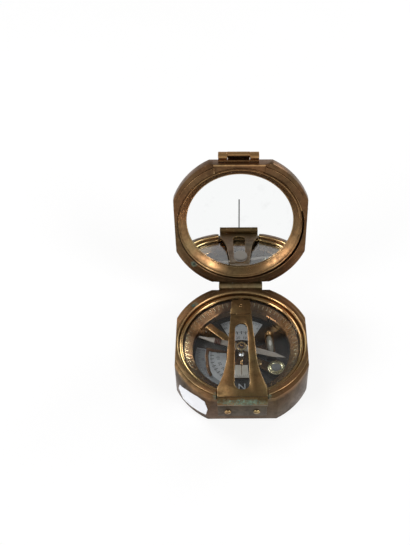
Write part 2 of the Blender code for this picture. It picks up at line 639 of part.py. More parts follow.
def make_clinometer(brass, silver, glass, gold):
    bush_outer = SHAFT_RADIUS + RUN + BUSH_WALL
    bush = turned([
        (bush_outer, BASE_THICKNESS), (bush_outer, CRANK_RECESS_DEPTH - SEAT),
        (BUSH_FLANGE_RADIUS, CRANK_RECESS_DEPTH - SEAT), (BUSH_FLANGE_RADIUS, BUSH_FLANGE_LOW),
        (SHAFT_RADIUS + RUN, BUSH_FLANGE_LOW), (SHAFT_RADIUS + RUN, BASE_THICKNESS),
    ], FINE_STEPS, closed=True)
    part(bush, "clinometer_bush", "case", gold)
    flange_top = SHAFT_FLANGE_LOW + SHAFT_FLANGE_THICKNESS
    shaft = turned([
        (0, ARM_PLATE_TOP), (SHAFT_RADIUS, ARM_PLATE_TOP), (SHAFT_RADIUS, flange_top),
        (SHAFT_FLANGE_RADIUS, flange_top), (SHAFT_FLANGE_RADIUS, SHAFT_FLANGE_LOW),
        (SHAFT_RADIUS, SHAFT_FLANGE_LOW), (SHAFT_RADIUS, CRANK_LOW), (0, CRANK_LOW),
    ], FINE_STEPS)
    part(shaft, "clinometer_shaft", "clinometer", gold)

    low, high = ARM_PLATE_LOW, ARM_PLATE_TOP
    holder_width = 2 * (VIAL_RADIUS + SEAT + HOLDER_WALL)
    level = (LEVEL_X, LEVEL_Y)
    run = Vector((-math.sin(math.radians(LEVEL_TILT)), math.cos(math.radians(LEVEL_TILT))))
    half = VIAL_LENGTH / 2 + SEAT + HOLDER_END
    ends = [tuple(Vector(level) - run * half), tuple(Vector(level) + run * half)]
    arm = plate([circle(ARM_HUB_RADIUS, FINE_STEPS)], low, high)
    vernier = [
        (-VERNIER_NECK / 2, 0), (-VERNIER_WIDTH / 2, -VERNIER_REACH),
        (VERNIER_WIDTH / 2, -VERNIER_REACH), (VERNIER_NECK / 2, 0),
    ]
    add(arm, plate([vernier], low, high), beam((0, 0), level, VERNIER_NECK, low, high))
    add(arm, beam(*ends, holder_width, low, high))
    eye = polar(RING_INNER - BULLS_EYE_GAP - BULLS_EYE_RADIUS, BULLS_EYE_AZIMUTH)
    add(arm, beam((0, 0), eye, VERNIER_NECK, low, high))
    add(arm, plate([circle(BULLS_EYE_RADIUS + SEAT, FINE_STEPS, eye)], low, high))
    cut(arm, rod(SHAFT_RADIUS + SEAT, low - MM, high + MM, FINE_STEPS))
    part(arm, "vernier_arm", "clinometer", silver)

    seat = ARM_PLATE_TOP + SEAT
    vial_z = seat + HOLDER_WALL + SEAT + VIAL_RADIUS
    holder = beam(*ends, holder_width, seat, vial_z + HOLDER_RISE)
    trough = rod(VIAL_RADIUS + SEAT, -VIAL_LENGTH / 2 - SEAT, VIAL_LENGTH / 2 + SEAT, FINE_STEPS)
    body = VIAL_LENGTH / 2 - VIAL_DOME
    turns = (0.0, 0.5, 1.0, math.pi / 2)
    rounded = [(VIAL_RADIUS * math.sin(a), body + VIAL_DOME * math.cos(a)) for a in turns]
    vial = turned(rounded + [(r, -z) for r, z in reversed(rounded)], SMALL_STEPS)
    for piece in (trough, vial):
        piece.data.transform(Matrix.Rotation(math.radians(-90), 4, "X"))
        piece.data.transform(Matrix.Rotation(math.radians(LEVEL_TILT), 4, "Z"))
        piece.location = (*level, vial_z)
    bpy.context.view_layer.update()
    part(cut(holder, trough), "tube_level_holder", "clinometer", gold)
    part(vial, "tube_level_vial", "clinometer", glass)

    inner = BULLS_EYE_RADIUS - BULLS_EYE_RIM
    cup_top, floor = seat + BULLS_EYE_HEIGHT, seat + BULLS_EYE_FLOOR
    cup = turned([
        (0, floor), (inner, floor), (inner, cup_top), (BULLS_EYE_RADIUS - BULLS_EYE_RIM / 3, cup_top),
        (BULLS_EYE_RADIUS, cup_top - BULLS_EYE_RIM / 3), (BULLS_EYE_RADIUS, seat), (0, seat),
    ], FINE_STEPS, (*eye, 0))
    part(cup, "bulls_eye_cup", "clinometer", gold)
    lens = inner - SEAT
    brim = cup_top - SEAT
    crown = [(lens * math.sin(a), brim + BULLS_EYE_CROWN * math.cos(a)) for a in (0.0, 0.6, 1.1, math.pi / 2)]
    part(
        turned(crown + [(lens, floor + SEAT), (0, floor + SEAT)], FINE_STEPS, (*eye, 0)),
        "bulls_eye_vial", "clinometer", glass,
    )
    make_crank(brass, gold)


def make_crank(brass, gold):
    crank_top = CRANK_LOW + CRANK_THICKNESS
    half = CRANK_WIDTH / 2
    knob_place = CRANK_REACH - half
    outline = arc(half, 90, 270, SMALL_STEPS)
    outline += arc(CRANK_END_WIDTH / 2, -90, 90, SMALL_STEPS, (knob_place, 0))
    crank = plate([outline, circle(SHAFT_RADIUS + SEAT, FINE_STEPS)], CRANK_LOW, crank_top)
    knob = rod(
        CRANK_KNOB_RADIUS, CRANK_LOW - CRANK_KNOB_HEIGHT, crank_top - RUN, FINE_STEPS, (knob_place, 0, 0)
    )
    part(add(crank, knob), "crank_lever", "clinometer", brass)
    head_top = CRANK_LOW - SEAT
    screw = rod(CRANK_SCREW_RADIUS, head_top - CRANK_SCREW_HEIGHT, head_top, FINE_STEPS)
    slot_low = head_top - CRANK_SCREW_HEIGHT
    slot = box(
        (-SLOT_WIDTH / 2, -2 * CRANK_SCREW_RADIUS, slot_low - MM),
        (SLOT_WIDTH / 2, 2 * CRANK_SCREW_RADIUS, slot_low + CRANK_SCREW_HEIGHT / 2),
    )
    part(cut(screw, slot), "crank_screw", "clinometer", gold)


def make_needle(steel, silver, gold, ruby, copper):
    foot = ARM_PLATE_TOP + SEAT
    pivot = turned([
        (0, PIVOT_TIP), (PIVOT_RADIUS, PIVOT_TIP - 3 * PIVOT_RADIUS), (PIVOT_RADIUS, foot + 2 * PIVOT_RADIUS),
        (2 * PIVOT_RADIUS, foot + PIVOT_RADIUS), (2 * PIVOT_RADIUS, foot), (0, foot),
    ], SMALL_STEPS)
    part(pivot, "needle_pivot", "clinometer", steel)
    half = NEEDLE_WIDTH / 2
    side = [(NEEDLE_SHOULDER, NEEDLE_SHOULDER_WIDTH / 2), (0, half), (-NEEDLE_TAIL, NEEDLE_TAIL_WIDTH / 2)]
    outline = [(NEEDLE_REACH, 0)] + side + [(x, -y) for x, y in reversed(side)]
    blade_top = NEEDLE_BLADE_Z + NEEDLE_THICKNESS
    blade = plate([outline, circle(HUB_NECK_RADIUS + SEAT, FINE_STEPS)], NEEDLE_BLADE_Z, blade_top)
    part(blade, "needle_blade", "needle", silver)
    flange_top = NEEDLE_BLADE_Z - SEAT
    flange_low = flange_top - HUB_FLANGE_THICKNESS
    bore_top = HUB_TOP - HUB_FLANGE_THICKNESS
    hub = turned([
        (0, HUB_TOP), (HUB_NECK_RADIUS, HUB_TOP), (HUB_NECK_RADIUS, flange_top),
        (HUB_FLANGE_RADIUS, flange_top), (HUB_FLANGE_RADIUS, flange_low),
        (HUB_BORE_RADIUS, flange_low), (HUB_BORE_RADIUS, bore_top), (0, bore_top),
    ], FINE_STEPS)
    part(hub, "needle_hub", "needle", gold)
    jewel_top = bore_top - SEAT
    jewel = rod(HUB_BORE_RADIUS - SEAT, jewel_top - JEWEL_HEIGHT, jewel_top, SMALL_STEPS)
    part(jewel, "needle_jewel", "needle", ruby)
    cap_low = blade_top + SEAT
    cap = tube(CAP_RADIUS, HUB_NECK_RADIUS + SEAT, cap_low, cap_low + CAP_HEIGHT, FINE_STEPS)
    part(cap, "needle_cap", "needle", gold)

    share = COIL_PLACE / NEEDLE_TAIL
    blade_half = half + (NEEDLE_TAIL_WIDTH / 2 - half) * share
    across = blade_half + COIL_SIDE_GAP + COIL_WIRE / 2
    high = NEEDLE_THICKNESS / 2 + COIL_FACE_GAP + COIL_WIRE / 2
    middle = NEEDLE_BLADE_Z + NEEDLE_THICKNESS / 2
    count = COIL_TURNS * COIL_POINTS + 1
    turns = [2 * math.pi * i / COIL_POINTS for i in range(count)]
    start = -COIL_PLACE - COIL_PITCH * COIL_TURNS / 2
    wire = [
        Vector((start + COIL_PITCH * t / (2 * math.pi), across * math.cos(t), middle + high * math.sin(t)))
        for t in turns
    ]
    gaps = [
        (wire[i] - wire[j]).length - COIL_WIRE
        for i in range(count) for j in range(i + COIL_POINTS // 2, count)
    ]
    print(f"needle counterweight: least gap between turns {min(gaps) / MM:.2f} mm")
    curve = bpy.data.curves.new("winding", "CURVE")
    curve.dimensions = "3D"
    curve.bevel_depth = COIL_WIRE / 2
    curve.bevel_resolution = 1
    curve.use_fill_caps = True
    spline = curve.splines.new("POLY")
    spline.points.add(count - 1)
    for point, place in zip(spline.points, wire):
        point.co = (*place, 1)
    winding = bpy.data.objects.new("winding", curve)
    parts.objects.link(winding)
    bpy.context.view_layer.update()
    part(evaluated_mesh(winding), "needle_counterweight", "needle", copper)


def make_lifter(brass, steel, gold):
    pin_x, pin_y = polar(LIFT_PIN_PLACE, LIFT_AZIMUTH)
    pin = rod(
        LIFT_PIN_RADIUS, LEVER_LOW_TOP + SEAT, CASE_HEIGHT + LIFT_PIN_PROUD, SMALL_STEPS, (pin_x, pin_y, 0)
    )
    part(pin, "lift_pin", "lift_pin", gold)

    low, bottom = LEVER_TOP - LEVER_THICKNESS, LEVER_LOW_TOP - LEVER_THICKNESS
    block_in, block_out = LEVER_PIVOT_PLACE - LEVER_BLOCK / 2, LEVER_PIVOT_PLACE + LEVER_BLOCK / 2
    tail = LIFT_PIN_PLACE + LEVER_TAIL
    outline = [
        (-LEVER_FORK_REACH, low), (block_in, low), (block_in, bottom), (tail, bottom), (tail, LEVER_LOW_TOP),
        (block_out, LEVER_LOW_TOP), (block_out, LEVER_TOP), (-LEVER_FORK_REACH, LEVER_TOP),
    ]
    pivot = (LEVER_PIVOT_PLACE, LEVER_PIVOT_Z)
    hole = circle(LIFT_PIVOT_RADIUS + SEAT, SMALL_STEPS, pivot)
    lever = side_profile([outline, hole], LEVER_WIDTH / 2, LIFT_AZIMUTH)
    fork_end = LEVER_FORK_REACH + MM
    below, above = low - MM, LEVER_TOP + MM
    fork = [(-fork_end, below), (fork_end, below), (fork_end, above), (-fork_end, above)]
    part(cut(lever, side_profile([fork], LEVER_FORK_GAP / 2, LIFT_AZIMUTH)), "lift_lever", "lift_lever", gold)

    inside = LEVER_WIDTH / 2 + RUN
    outside = inside + BRACKET_WALL
    foot = DIAL_TOP + SEAT
    crown = LEVER_PIVOT_Z + BRACKET_CROWN
    reach = LEVER_BLOCK / 2 + BRACKET_WALL
    start, stop = LEVER_PIVOT_PLACE - reach, LEVER_PIVOT_PLACE + reach
    wall = [(start, foot), (stop, foot), (stop, LEVER_PIVOT_Z)]
    wall += arc(BRACKET_CROWN, 0, 180, ARC_STEPS, pivot) + [(start, LEVER_PIVOT_Z)]
    bracket = side_profile([wall, hole], outside, LIFT_AZIMUTH)
    channel_low = foot + BRACKET_WALL
    channel = [
        (start - MM, channel_low), (stop + MM, channel_low), (stop + MM, crown + MM), (start - MM, crown + MM)
    ]
    part(cut(bracket, side_profile([channel], inside, LIFT_AZIMUTH)), "lift_bracket", "case", brass)
    axle = side_profile([circle(LIFT_PIVOT_RADIUS, SMALL_STEPS, pivot)], outside + SEAT, LIFT_AZIMUTH)
    part(axle, "lift_pivot_pin", "case", steel)

    spring_start = stop + RUN
    bend = spring_start + SPRING_FOOT
    end = bend + SPRING_REACH
    rise = bottom - SPRING_GAP - SPRING_THICKNESS
    leaf = [
        (spring_start, foot), (bend, foot), (end, rise),
        (end, rise + SPRING_THICKNESS), (bend - SPRING_THICKNESS / 2, foot + SPRING_THICKNESS),
        (spring_start, foot + SPRING_THICKNESS),
    ]
    part(side_profile([leaf], SPRING_WIDTH / 2, LIFT_AZIMUTH), "lift_spring", "case", steel)


def screw(name, centre, front, radius, body, finish):
    """A domed hinge screw on an upright leaf; front is the way its head faces along Y."""
    crown = [(radius * math.sin(a), SCREW_HEAD * math.cos(a)) for a in (0.0, 0.5, 1.0, math.pi / 2)]
    shank = [(SCREW_SHANK, 0), (SCREW_SHANK, -LEAF_THICKNESS), (0, -LEAF_THICKNESS)]
    piece = turned(crown + shank, SMALL_STEPS)
    piece.data.transform(Matrix.Rotation(math.radians(-90 * front), 4, "X"))
    piece.location = centre
    bpy.context.view_layer.update()
    part(piece, name, body, finish)


def screw_hole(x, y, z):
    hole = rod(SCREW_SHANK + SEAT, -2 * MM, 2 * MM, SMALL_STEPS)
    hole.data.transform(Matrix.Rotation(math.radians(90), 4, "X"))
    hole.location = (x, y, z)
    bpy.context.view_layer.update()
    return hole


def make_rear_hinge(brass, gold, steel):
    half, centre_half = REAR_HINGE_WIDTH / 2, REAR_CENTRE_KNUCKLE / 2
    near, far = HALF_LENGTH + SEAT, HALF_LENGTH + SEAT + LEAF_THICKNESS
    bore = HINGE_PIN_RADIUS + SEAT
    clear = REAR_HINGE_RADIUS + RUN
    axis = (0, REAR_HINGE_Y, CASE_HEIGHT)

    leaf = box((-half, near, CASE_HEIGHT - REAR_LEAF_HEIGHT), (half, far, CASE_HEIGHT - clear))
    add(leaf, box((-centre_half, near, CASE_HEIGHT - clear - MM), (centre_half, far, CASE_HEIGHT)))
    add(leaf, knuckle_rod(REAR_HINGE_RADIUS, REAR_CENTRE_KNUCKLE, axis))
    cut(leaf, hinge_rod(bore, 2 * half, axis))
    screw_z = CASE_HEIGHT - REAR_LEAF_HEIGHT + SCREW_RADIUS + MM
    head_y = far + SEAT
    for number, x in enumerate((-REAR_SCREW_SPACING / 2, REAR_SCREW_SPACING / 2), 1):
        cut(leaf, screw_hole(x, far, screw_z))
        screw(f"rear_case_screw_{number}", (x, head_y, screw_z), 1, SCREW_RADIUS, "case", gold)
    part(leaf, "rear_hinge_case_leaf", "case", brass)

    leaf_top = LID_RIM + LID_WALL - SEAT
    lid_leaf = box((-half, near, CASE_HEIGHT + clear), (half, far, leaf_top))
    knuckle = half - centre_half - RUN
    for side in (-1, 1):
        middle = side * (half - knuckle / 2)
        web = box(
            (middle - knuckle / 2, near, CASE_HEIGHT), (middle + knuckle / 2, far, CASE_HEIGHT + clear + MM)
        )
        place = (middle, REAR_HINGE_Y, CASE_HEIGHT)
        add(lid_leaf, web, knuckle_rod(REAR_HINGE_RADIUS, knuckle, place))
    cut(lid_leaf, hinge_rod(bore, 2 * half + MM, axis))
    lid_screw_z = (CASE_HEIGHT + clear + leaf_top) / 2
    for number, x in enumerate((-REAR_SCREW_SPACING / 2, REAR_SCREW_SPACING / 2), 1):
        cut(lid_leaf, screw_hole(x, far, lid_screw_z))
        screw(f"rear_lid_screw_{number}", (x, head_y, lid_screw_z), 1, LID_SCREW_RADIUS, "lid", gold)
    part(lid_leaf, "rear_hinge_lid_leaf", "lid", brass)
    part(hinge_rod(HINGE_PIN_RADIUS, REAR_HINGE_WIDTH + SEAT, axis), "rear_hinge_pin", "case", steel)


def make_front_hinge(brass, gold, steel):
    half, arm_half = FRONT_HINGE_WIDTH / 2, ARM_KNUCKLE / 2 + RUN
    near, far = -HALF_LENGTH - SEAT, -HALF_LENGTH - SEAT - LEAF_THICKNESS
    axis = (0, FRONT_HINGE_Y, FRONT_HINGE_Z)
    leaf_top = ARM_LOW - RUN
    leaf = box((-half, far, FRONT_LEAF_LOW), (half, near, leaf_top))
    knuckle = half - arm_half
    for side in (-1, 1):
        middle = side * (half - knuckle / 2)
        web = box((middle - knuckle / 2, far, leaf_top - MM), (middle + knuckle / 2, near, FRONT_HINGE_Z))
        place = (middle, FRONT_HINGE_Y, FRONT_HINGE_Z)
        add(leaf, web, knuckle_rod(FRONT_HINGE_RADIUS, knuckle, place))
    cut(leaf, hinge_rod(HINGE_PIN_RADIUS + SEAT, 2 * half + MM, axis))
    for number, x in enumerate((-FRONT_SCREW_SPACING / 2, FRONT_SCREW_SPACING / 2), 1):
        cut(leaf, screw_hole(x, far, FRONT_SCREW_Z))
        screw(f"front_screw_{number}", (x, far - SEAT, FRONT_SCREW_Z), -1, SCREW_RADIUS, "case", gold)
    part(leaf, "front_hinge_leaf", "case", brass)
    part(hinge_rod(HINGE_PIN_RADIUS, FRONT_HINGE_WIDTH + SEAT, axis), "front_hinge_pin", "case", steel)


def arm_half_width(y):
    """Half the sight arm's width: a straight taper that flares towards the hinge."""
    shoulder = ARM_TIP_PLACE - ARM_TIP_POINT
    width = ARM_TIP_WIDTH + (shoulder - y) * ARM_TAPER
    if y < ARM_FLARE_START:
        width += ARM_FLARE * ((ARM_FLARE_START - y) / ARM_FLARE_LENGTH) ** 2
    return min(width, FRONT_HINGE_WIDTH) / 2


def make_sight_arm(brass, steel):
    axis = (0, FRONT_HINGE_Y, FRONT_HINGE_Z)
    knuckle_half = ARM_KNUCKLE / 2
    base = -HALF_LENGTH + RUN
    end = PEEP_PLACE - PEEP_KNUCKLE_RADIUS - RUN
    flare = [base + (ARM_FLARE_START - base) * i / ARC_STEPS for i in range(ARC_STEPS + 1)]
    right = [(knuckle_half, FRONT_HINGE_Y), (knuckle_half, base + RUN)]
    inner, outer = PEEP_KNUCKLE / 2 + RUN, arm_half_width(PEEP_PLACE) - RUN
    right += [(arm_half_width(y), y) for y in flare]
    right += [(outer, PEEP_PLACE), (inner, PEEP_PLACE - KNUCKLE_TUCK), (inner, end)]
    outline = right + [(-x, y) for x, y in reversed(right)]
    top, bottom = ARM_SLOT_TOP_WIDTH / 2, ARM_SLOT_BOTTOM_WIDTH / 2
    slot = arc(top, 0, 180, ARC_STEPS, (0, ARM_SLOT_TOP - top))
    slot += arc(bottom, 180, 360, ARC_STEPS, (0, ARM_SLOT_BOTTOM + bottom))
    arm = plate([outline, slot], ARM_LOW, ARM_TOP)
    add(arm, knuckle_rod(FRONT_HINGE_RADIUS, ARM_KNUCKLE, axis))
    cut(arm, hinge_rod(HINGE_PIN_RADIUS + SEAT, 2 * ARM_KNUCKLE, axis))
    ear = outer - inner
    for side in (-1, 1):
        place = (side * (inner + ear / 2), PEEP_PLACE, PEEP_Z)
        add(arm, knuckle_rod(PEEP_KNUCKLE_RADIUS, ear, place))
    peep_axis = (0, PEEP_PLACE, PEEP_Z)
    cut(arm, hinge_rod(PEEP_PIN_RADIUS + SEAT, 4 * outer, peep_axis))
    part(arm, "sight_arm", "sight_arm", brass)

    start = PEEP_PLACE + PEEP_KNUCKLE_RADIUS + RUN
    shoulder = ARM_TIP_PLACE - ARM_TIP_POINT
    tip_half = ARM_TIP_WIDTH / 2
    tongue = PEEP_KNUCKLE / 2
    right = [(tongue, PEEP_PLACE), (tongue, start), (arm_half_width(start), start + RUN)]
    right += arc(ARM_TIP_CORNER, 0, 90, 3, (tip_half - ARM_TIP_CORNER, shoulder - ARM_TIP_CORNER))
    shares = (1.0, 0.75, 0.5, 0.25, 0.0)
    right += [(ARM_TIP_PEAK * u, shoulder + ARM_TIP_POINT * (1 - u) ** 1.6) for u in shares]
    outline = right + [(-x, y) for x, y in reversed(right[:-1])]
    hole = circle(PEEP_HOLE_RADIUS, SMALL_STEPS, (0, PEEP_HOLE_PLACE))
    peep = plate([outline, hole], ARM_LOW, ARM_TOP)
    add(peep, knuckle_rod(PEEP_KNUCKLE_RADIUS, PEEP_KNUCKLE, peep_axis))
    cut(peep, hinge_rod(PEEP_PIN_RADIUS + SEAT, 4 * outer, peep_axis))
    part(peep, "peep_sight", "peep_sight", brass)
    part(hinge_rod(PEEP_PIN_RADIUS, 2 * outer, peep_axis), "peep_pin", "sight_arm", steel)


def make_lid(brass, gold, mirror):
    back = LID_RIM + LID_HEIGHT
    levels = [(case_outline(0, 0), LID_RIM), (case_outline(0, 0), LID_RIM + LID_WALL)]
    for i in range(1, 5):
        turn = math.radians(90 * i / 4)
        inset = LID_SHOULDER * (1 - math.cos(turn))
        height = LID_RIM + LID_WALL + (LID_HEIGHT - LID_WALL) * math.sin(turn)
        levels.append((case_outline(0, inset), height))
    lid = loft(levels)
    low = LID_RIM - MM
    cut(lid, rod(BEZEL_BORE, low, back - LID_TOP, TURN_STEPS))
    cut(lid, tube(CASE_LENGTH, RIM_RADIUS, low, LID_RIM + RIM_STEP, TURN_STEPS))
    half = FRONT_HINGE_WIDTH / 2 + NOTCH_SIDE_GAP
    inner = math.sqrt(BEZEL_BORE**2 - half**2) - MM
    cut(lid, box((-half, LID_NOTCH_LIP - HALF_LENGTH, low), (half, -inner, LID_RIM + LID_NOTCH_DEPTH)))
    cut(lid, rod(WINDOW_RADIUS, back - LID_TOP - MM, back + MM, FINE_STEPS, (0, WINDOW_PLACE, 0)))
    part(lid, "lid_shell", "lid", brass)

    glass_low = LID_RIM + MIRROR_DEPTH
    glass = rod(BEZEL_BORE - RUN, glass_low, glass_low + MIRROR_THICKNESS, TURN_STEPS)
    part(glass, "mirror_glass", "lid", mirror)
    seat = glass_low - SEAT
    face = LID_RIM + MIRROR_RING_RECESS
    brow = MIRROR_RING_RADIUS - MIRROR_RING_EASE
    foot = seat - MIRROR_RING_LIP
    slope = [
        (MIRROR_RING_RADIUS, face + MIRROR_RING_EASE), (brow, face),
        ((brow + MIRROR_RADIUS) / 2, (face + foot) / 2 - MIRROR_RING_BULGE), (MIRROR_RADIUS, foot),
    ]
    profile = [(BEZEL_BORE - RUN, seat), (BEZEL_BORE - RUN, seat - MIRROR_RING_FLANGE)]
    profile += [(MIRROR_RING_RADIUS, seat - MIRROR_RING_FLANGE)] + slope + [(MIRROR_RADIUS, seat)]
    part(turned(profile, TURN_STEPS, closed=True), "mirror_ring", "lid", gold)


def make_lid_sight(brass, steel):
    x0 = LID_SIGHT_SHIFT
    axis_z = LID_RIM + LID_SIGHT_Z
    half, vane_half = LID_SIGHT_WIDTH / 2, LID_SIGHT_KNUCKLE / 2
    near, far = -HALF_LENGTH - SEAT, -HALF_LENGTH - SEAT - LEAF_THICKNESS
    leaf_low = FRONT_HINGE_Z + FRONT_HINGE_RADIUS + RUN
    leaf_top = axis_z - LID_SIGHT_RADIUS - RUN + LID_SIGHT_LAP
    leaf = box((x0 - half, far, leaf_low), (x0 + half, near, leaf_top))
    knuckle = half - vane_half - RUN
    for side in (-1, 1):
        middle = x0 + side * (half - knuckle / 2)
        web = box((middle - knuckle / 2, far, leaf_low), (middle + knuckle / 2, near, axis_z))
        place = (middle, LID_SIGHT_Y, axis_z)
        add(leaf, web, knuckle_rod(LID_SIGHT_RADIUS, knuckle, place))
    axis = (x0, LID_SIGHT_Y, axis_z)
    cut(leaf, hinge_rod(HINGE_PIN_RADIUS + SEAT, 2 * half + MM, axis))
    part(leaf, "lid_sight_leaf", "lid", brass)
    part(hinge_rod(HINGE_PIN_RADIUS, LID_SIGHT_WIDTH + SEAT, axis), "lid_sight_pin", "lid", steel)

    rest = LID_RIM + LID_HEIGHT + RUN
    tangent = axis_z + LID_SIGHT_RADIUS - KNUCKLE_TUCK - VANE_THICKNESS
    bend, end = LID_SIGHT_Y + VANE_BEND, LID_SIGHT_Y + LID_SIGHT_REACH
    lower = [(LID_SIGHT_Y, tangent), (bend, rest), (end, rest)]
    strip = side_profile([lower + [(y, z + VANE_THICKNESS) for y, z in reversed(lower)]], vane_half, 90)
    strip.location.x = x0
    bpy.context.view_layer.update()
    add(strip, knuckle_rod(LID_SIGHT_RADIUS, LID_SIGHT_KNUCKLE, axis))
    cut(strip, hinge_rod(HINGE_PIN_RADIUS + SEAT, 2 * half, axis))
    low, high = rest - MM, rest + VANE_THICKNESS + MM
    for side in (-1, 1):
        wedge = [(x0 + side * (vane_half + MM), bend), (x0 + side * vane_half, bend)]
        wedge += [(x0 + side * LID_SIGHT_TIP / 2, end + MM), (x0 + side * (vane_half + MM), end + MM)]
        cut(strip, plate([wedge[::side]], low, high))
    slot_half = VANE_SLOT_WIDTH / 2
    slot_start = (bend + end - VANE_SLOT_LENGTH) / 2
    slot = arc(slot_half, 180, 360, ARC_STEPS, (x0, slot_start))
    slot += arc(slot_half, 0, 180, ARC_STEPS, (x0, slot_start + VANE_SLOT_LENGTH))
    part(cut(strip, plate([slot], low, high)), "lid_sight_vane", "lid_sight", brass)


def centre_footprint():
    """Move the whole instrument so that its origin is under the middle of the space it takes up."""
    bpy.context.view_layer.update()
    graph = bpy.context.evaluated_depsgraph_get()
    rows = []
    for piece in parts.objects:
        if piece.type == "MESH":
            shape = piece.evaluated_get(graph)
            rows += [(shape.matrix_world @ Vector(corner)).y for corner in shape.bound_box]
    pivots["case"][0].location.y = -(min(rows) + max(rows)) / 2
    bpy.context.view_layer.update()


def main():
    clear_scene()
    brass = metal("aged_brass", (0.42, 0.25, 0.11), 0.42, 1.0)
    gold = metal("bright_brass", (0.72, 0.50, 0.22), 0.25, 1.0)
    silver = metal("silvered_brass", (0.70, 0.71, 0.72), 0.30, 1.0)
    steel = metal("steel", (0.52, 0.53, 0.55), 0.30, 1.0)
    copper = metal("copper_wire", (0.50, 0.20, 0.10), 0.40, 1.0)
    black = metal("black_enamel", (0.03, 0.03, 0.035), 0.50, 0.0)
    white = metal("white_enamel", (0.80, 0.84, 0.88), 0.40, 0.0)
    glass = metal("clear_glass", (0.85, 0.90, 0.92), 0.05, 0.0)
    mirror = metal("silvered_mirror", (0.92, 0.93, 0.94), 0.02, 1.0)
    ruby = metal("ruby_jewel", (0.45, 0.02, 0.06), 0.10, 0.0)

    add_pivot("case", (0, 0, 0))
    add_pivot("lid", (0, REAR_HINGE_Y, CASE_HEIGHT), -LID_OPEN, "case")
    add_pivot("lid_sight", (LID_SIGHT_SHIFT, LID_SIGHT_Y, LID_RIM + LID_SIGHT_Z), 0, "lid")
    add_pivot("sight_arm", (0, FRONT_HINGE_Y, FRONT_HINGE_Z), 0, "case")
    add_pivot("peep_sight", (0, PEEP_PLACE, PEEP_Z), 0, "sight_arm")
    add_pivot("clinometer", (0, 0, 0), 0, "case")
    add_pivot("needle", (0, 0, 0), 0, "case")
    pivots["needle"][0].rotation_euler.z = math.radians(NEEDLE_AZIMUTH)
    add_pivot("ring", (0, 0, 0), 0, "case")
    add_pivot("pinion", (HALF_WIDTH, 0, PINION_Z), 0, "case")
    add_pivot("lift_lever", (*polar(LEVER_PIVOT_PLACE, LIFT_AZIMUTH), LEVER_PIVOT_Z), 0, "case")
    add_pivot("lift_pin", (*polar(LIFT_PIN_PLACE, LIFT_AZIMUTH), 0), 0, "case")

    make_case(brass)
    make_dial(black, white, glass, gold)
    make_ring(gold)
    make_pinion(steel)
    make_clinometer(brass, silver, glass, gold)
    make_needle(steel, silver, gold, ruby, copper)
    make_lifter(brass, steel, gold)
    make_rear_hinge(brass, gold, steel)
    make_front_hinge(brass, gold, steel)
    make_sight_arm(brass, steel)
    make_lid(brass, gold, mirror)
    make_lid_sight(brass, steel)
    centre_footprint()


main()
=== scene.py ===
"""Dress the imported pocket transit: smooth brass, glass, silver and enamel over the CAD frame."""
import json
import math

import bpy
from bpy.props import FloatProperty, FloatVectorProperty, IntProperty, PointerProperty
from mathutils import Matrix, Vector


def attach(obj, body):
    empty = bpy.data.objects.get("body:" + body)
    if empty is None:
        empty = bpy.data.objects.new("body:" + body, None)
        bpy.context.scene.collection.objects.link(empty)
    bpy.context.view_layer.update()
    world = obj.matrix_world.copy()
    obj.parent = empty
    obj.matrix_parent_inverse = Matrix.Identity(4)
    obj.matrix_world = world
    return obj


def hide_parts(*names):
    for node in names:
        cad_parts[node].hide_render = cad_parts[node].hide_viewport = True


bl_info = {
    "name": "Pocket Transit Dresser",
    "version": (1, 0, 0),
    "blender": (4, 5, 0),
    "location": "View3D > Sidebar > Transit",
    "description": "Models the visible brass, glass and enamel of a pocket transit around its packed frame",
    "category": "Object",
}

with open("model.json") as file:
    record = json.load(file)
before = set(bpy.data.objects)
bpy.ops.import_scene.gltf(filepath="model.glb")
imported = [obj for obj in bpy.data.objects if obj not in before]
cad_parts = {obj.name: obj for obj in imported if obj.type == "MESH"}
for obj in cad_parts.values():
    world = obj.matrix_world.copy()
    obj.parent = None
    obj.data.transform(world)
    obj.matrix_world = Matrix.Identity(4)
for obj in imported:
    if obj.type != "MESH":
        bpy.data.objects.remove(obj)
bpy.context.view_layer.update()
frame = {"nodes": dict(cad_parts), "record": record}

MM = 0.001
JOINTS = {joint["name"]: joint for joint in frame["record"]["behaviour"]["joints"]}
AXIS_Y = JOINTS["needle_spin"]["pos_m"][1]
LID_AXIS = Vector(JOINTS["lid_hinge"]["pos_m"]) - Vector((0, AXIS_Y, 0))
LID_OPEN = -JOINTS["lid_hinge"]["range_deg"][0]

# Sizes that the frame's solids share, in mm, in the case's own place: the origin is on the case axis
CASE_TOP = 22.5
HALF_WIDTH = 37.5
HALF_LENGTH = 38.5
CORNER_X = 40.79
CORNER_Y = 42.46
CORNER_DRAFT = 1.04
RIM_RADIUS = 39.4
RIM_STEP = 0.7
BORE = 36.0
DIAL_BORE = 33.2
FLOOR_BORE = 30.2
FLOOR = 5.0
RING_LEDGE = 9.6
GLASS_LEDGE = 17.4
NOTCH_HALF = 14.4
NOTCH_FLOOR = 20.61
NOTCH_INNER = math.sqrt(BORE**2 - NOTCH_HALF**2) - 1
LID_RIM = 22.8
LID_BACK = LID_RIM + 8.0
MIRROR_FACE = LID_RIM + 5.4
WINDOW_Y = 23.2
WINDOW_RADIUS = 4.1
LID_STUD = (-27.5, 25.0)
FRONT_AXIS = (0, -41.21, 23.3)
LIFT_AZIMUTH = 137.5
LIFT_PLACE = 38.1
LEVEL_AZIMUTH = -29.4
LEVEL_SEAT = 7.9
OUTSIDE = 60
NEAR = 0.001

# Angles at which the profiles of rounded caps are drawn: small ones, larger ones and the long level's ends
CAP = (0.0, 0.4, 0.8, 1.2, 1.45)
WIDE_CAP = (0.0, 0.3, 0.6, 0.9, 1.2, 1.45)
VIAL_CAP = (0.0, 0.35, 0.7, 1.0, 1.25, 1.45)

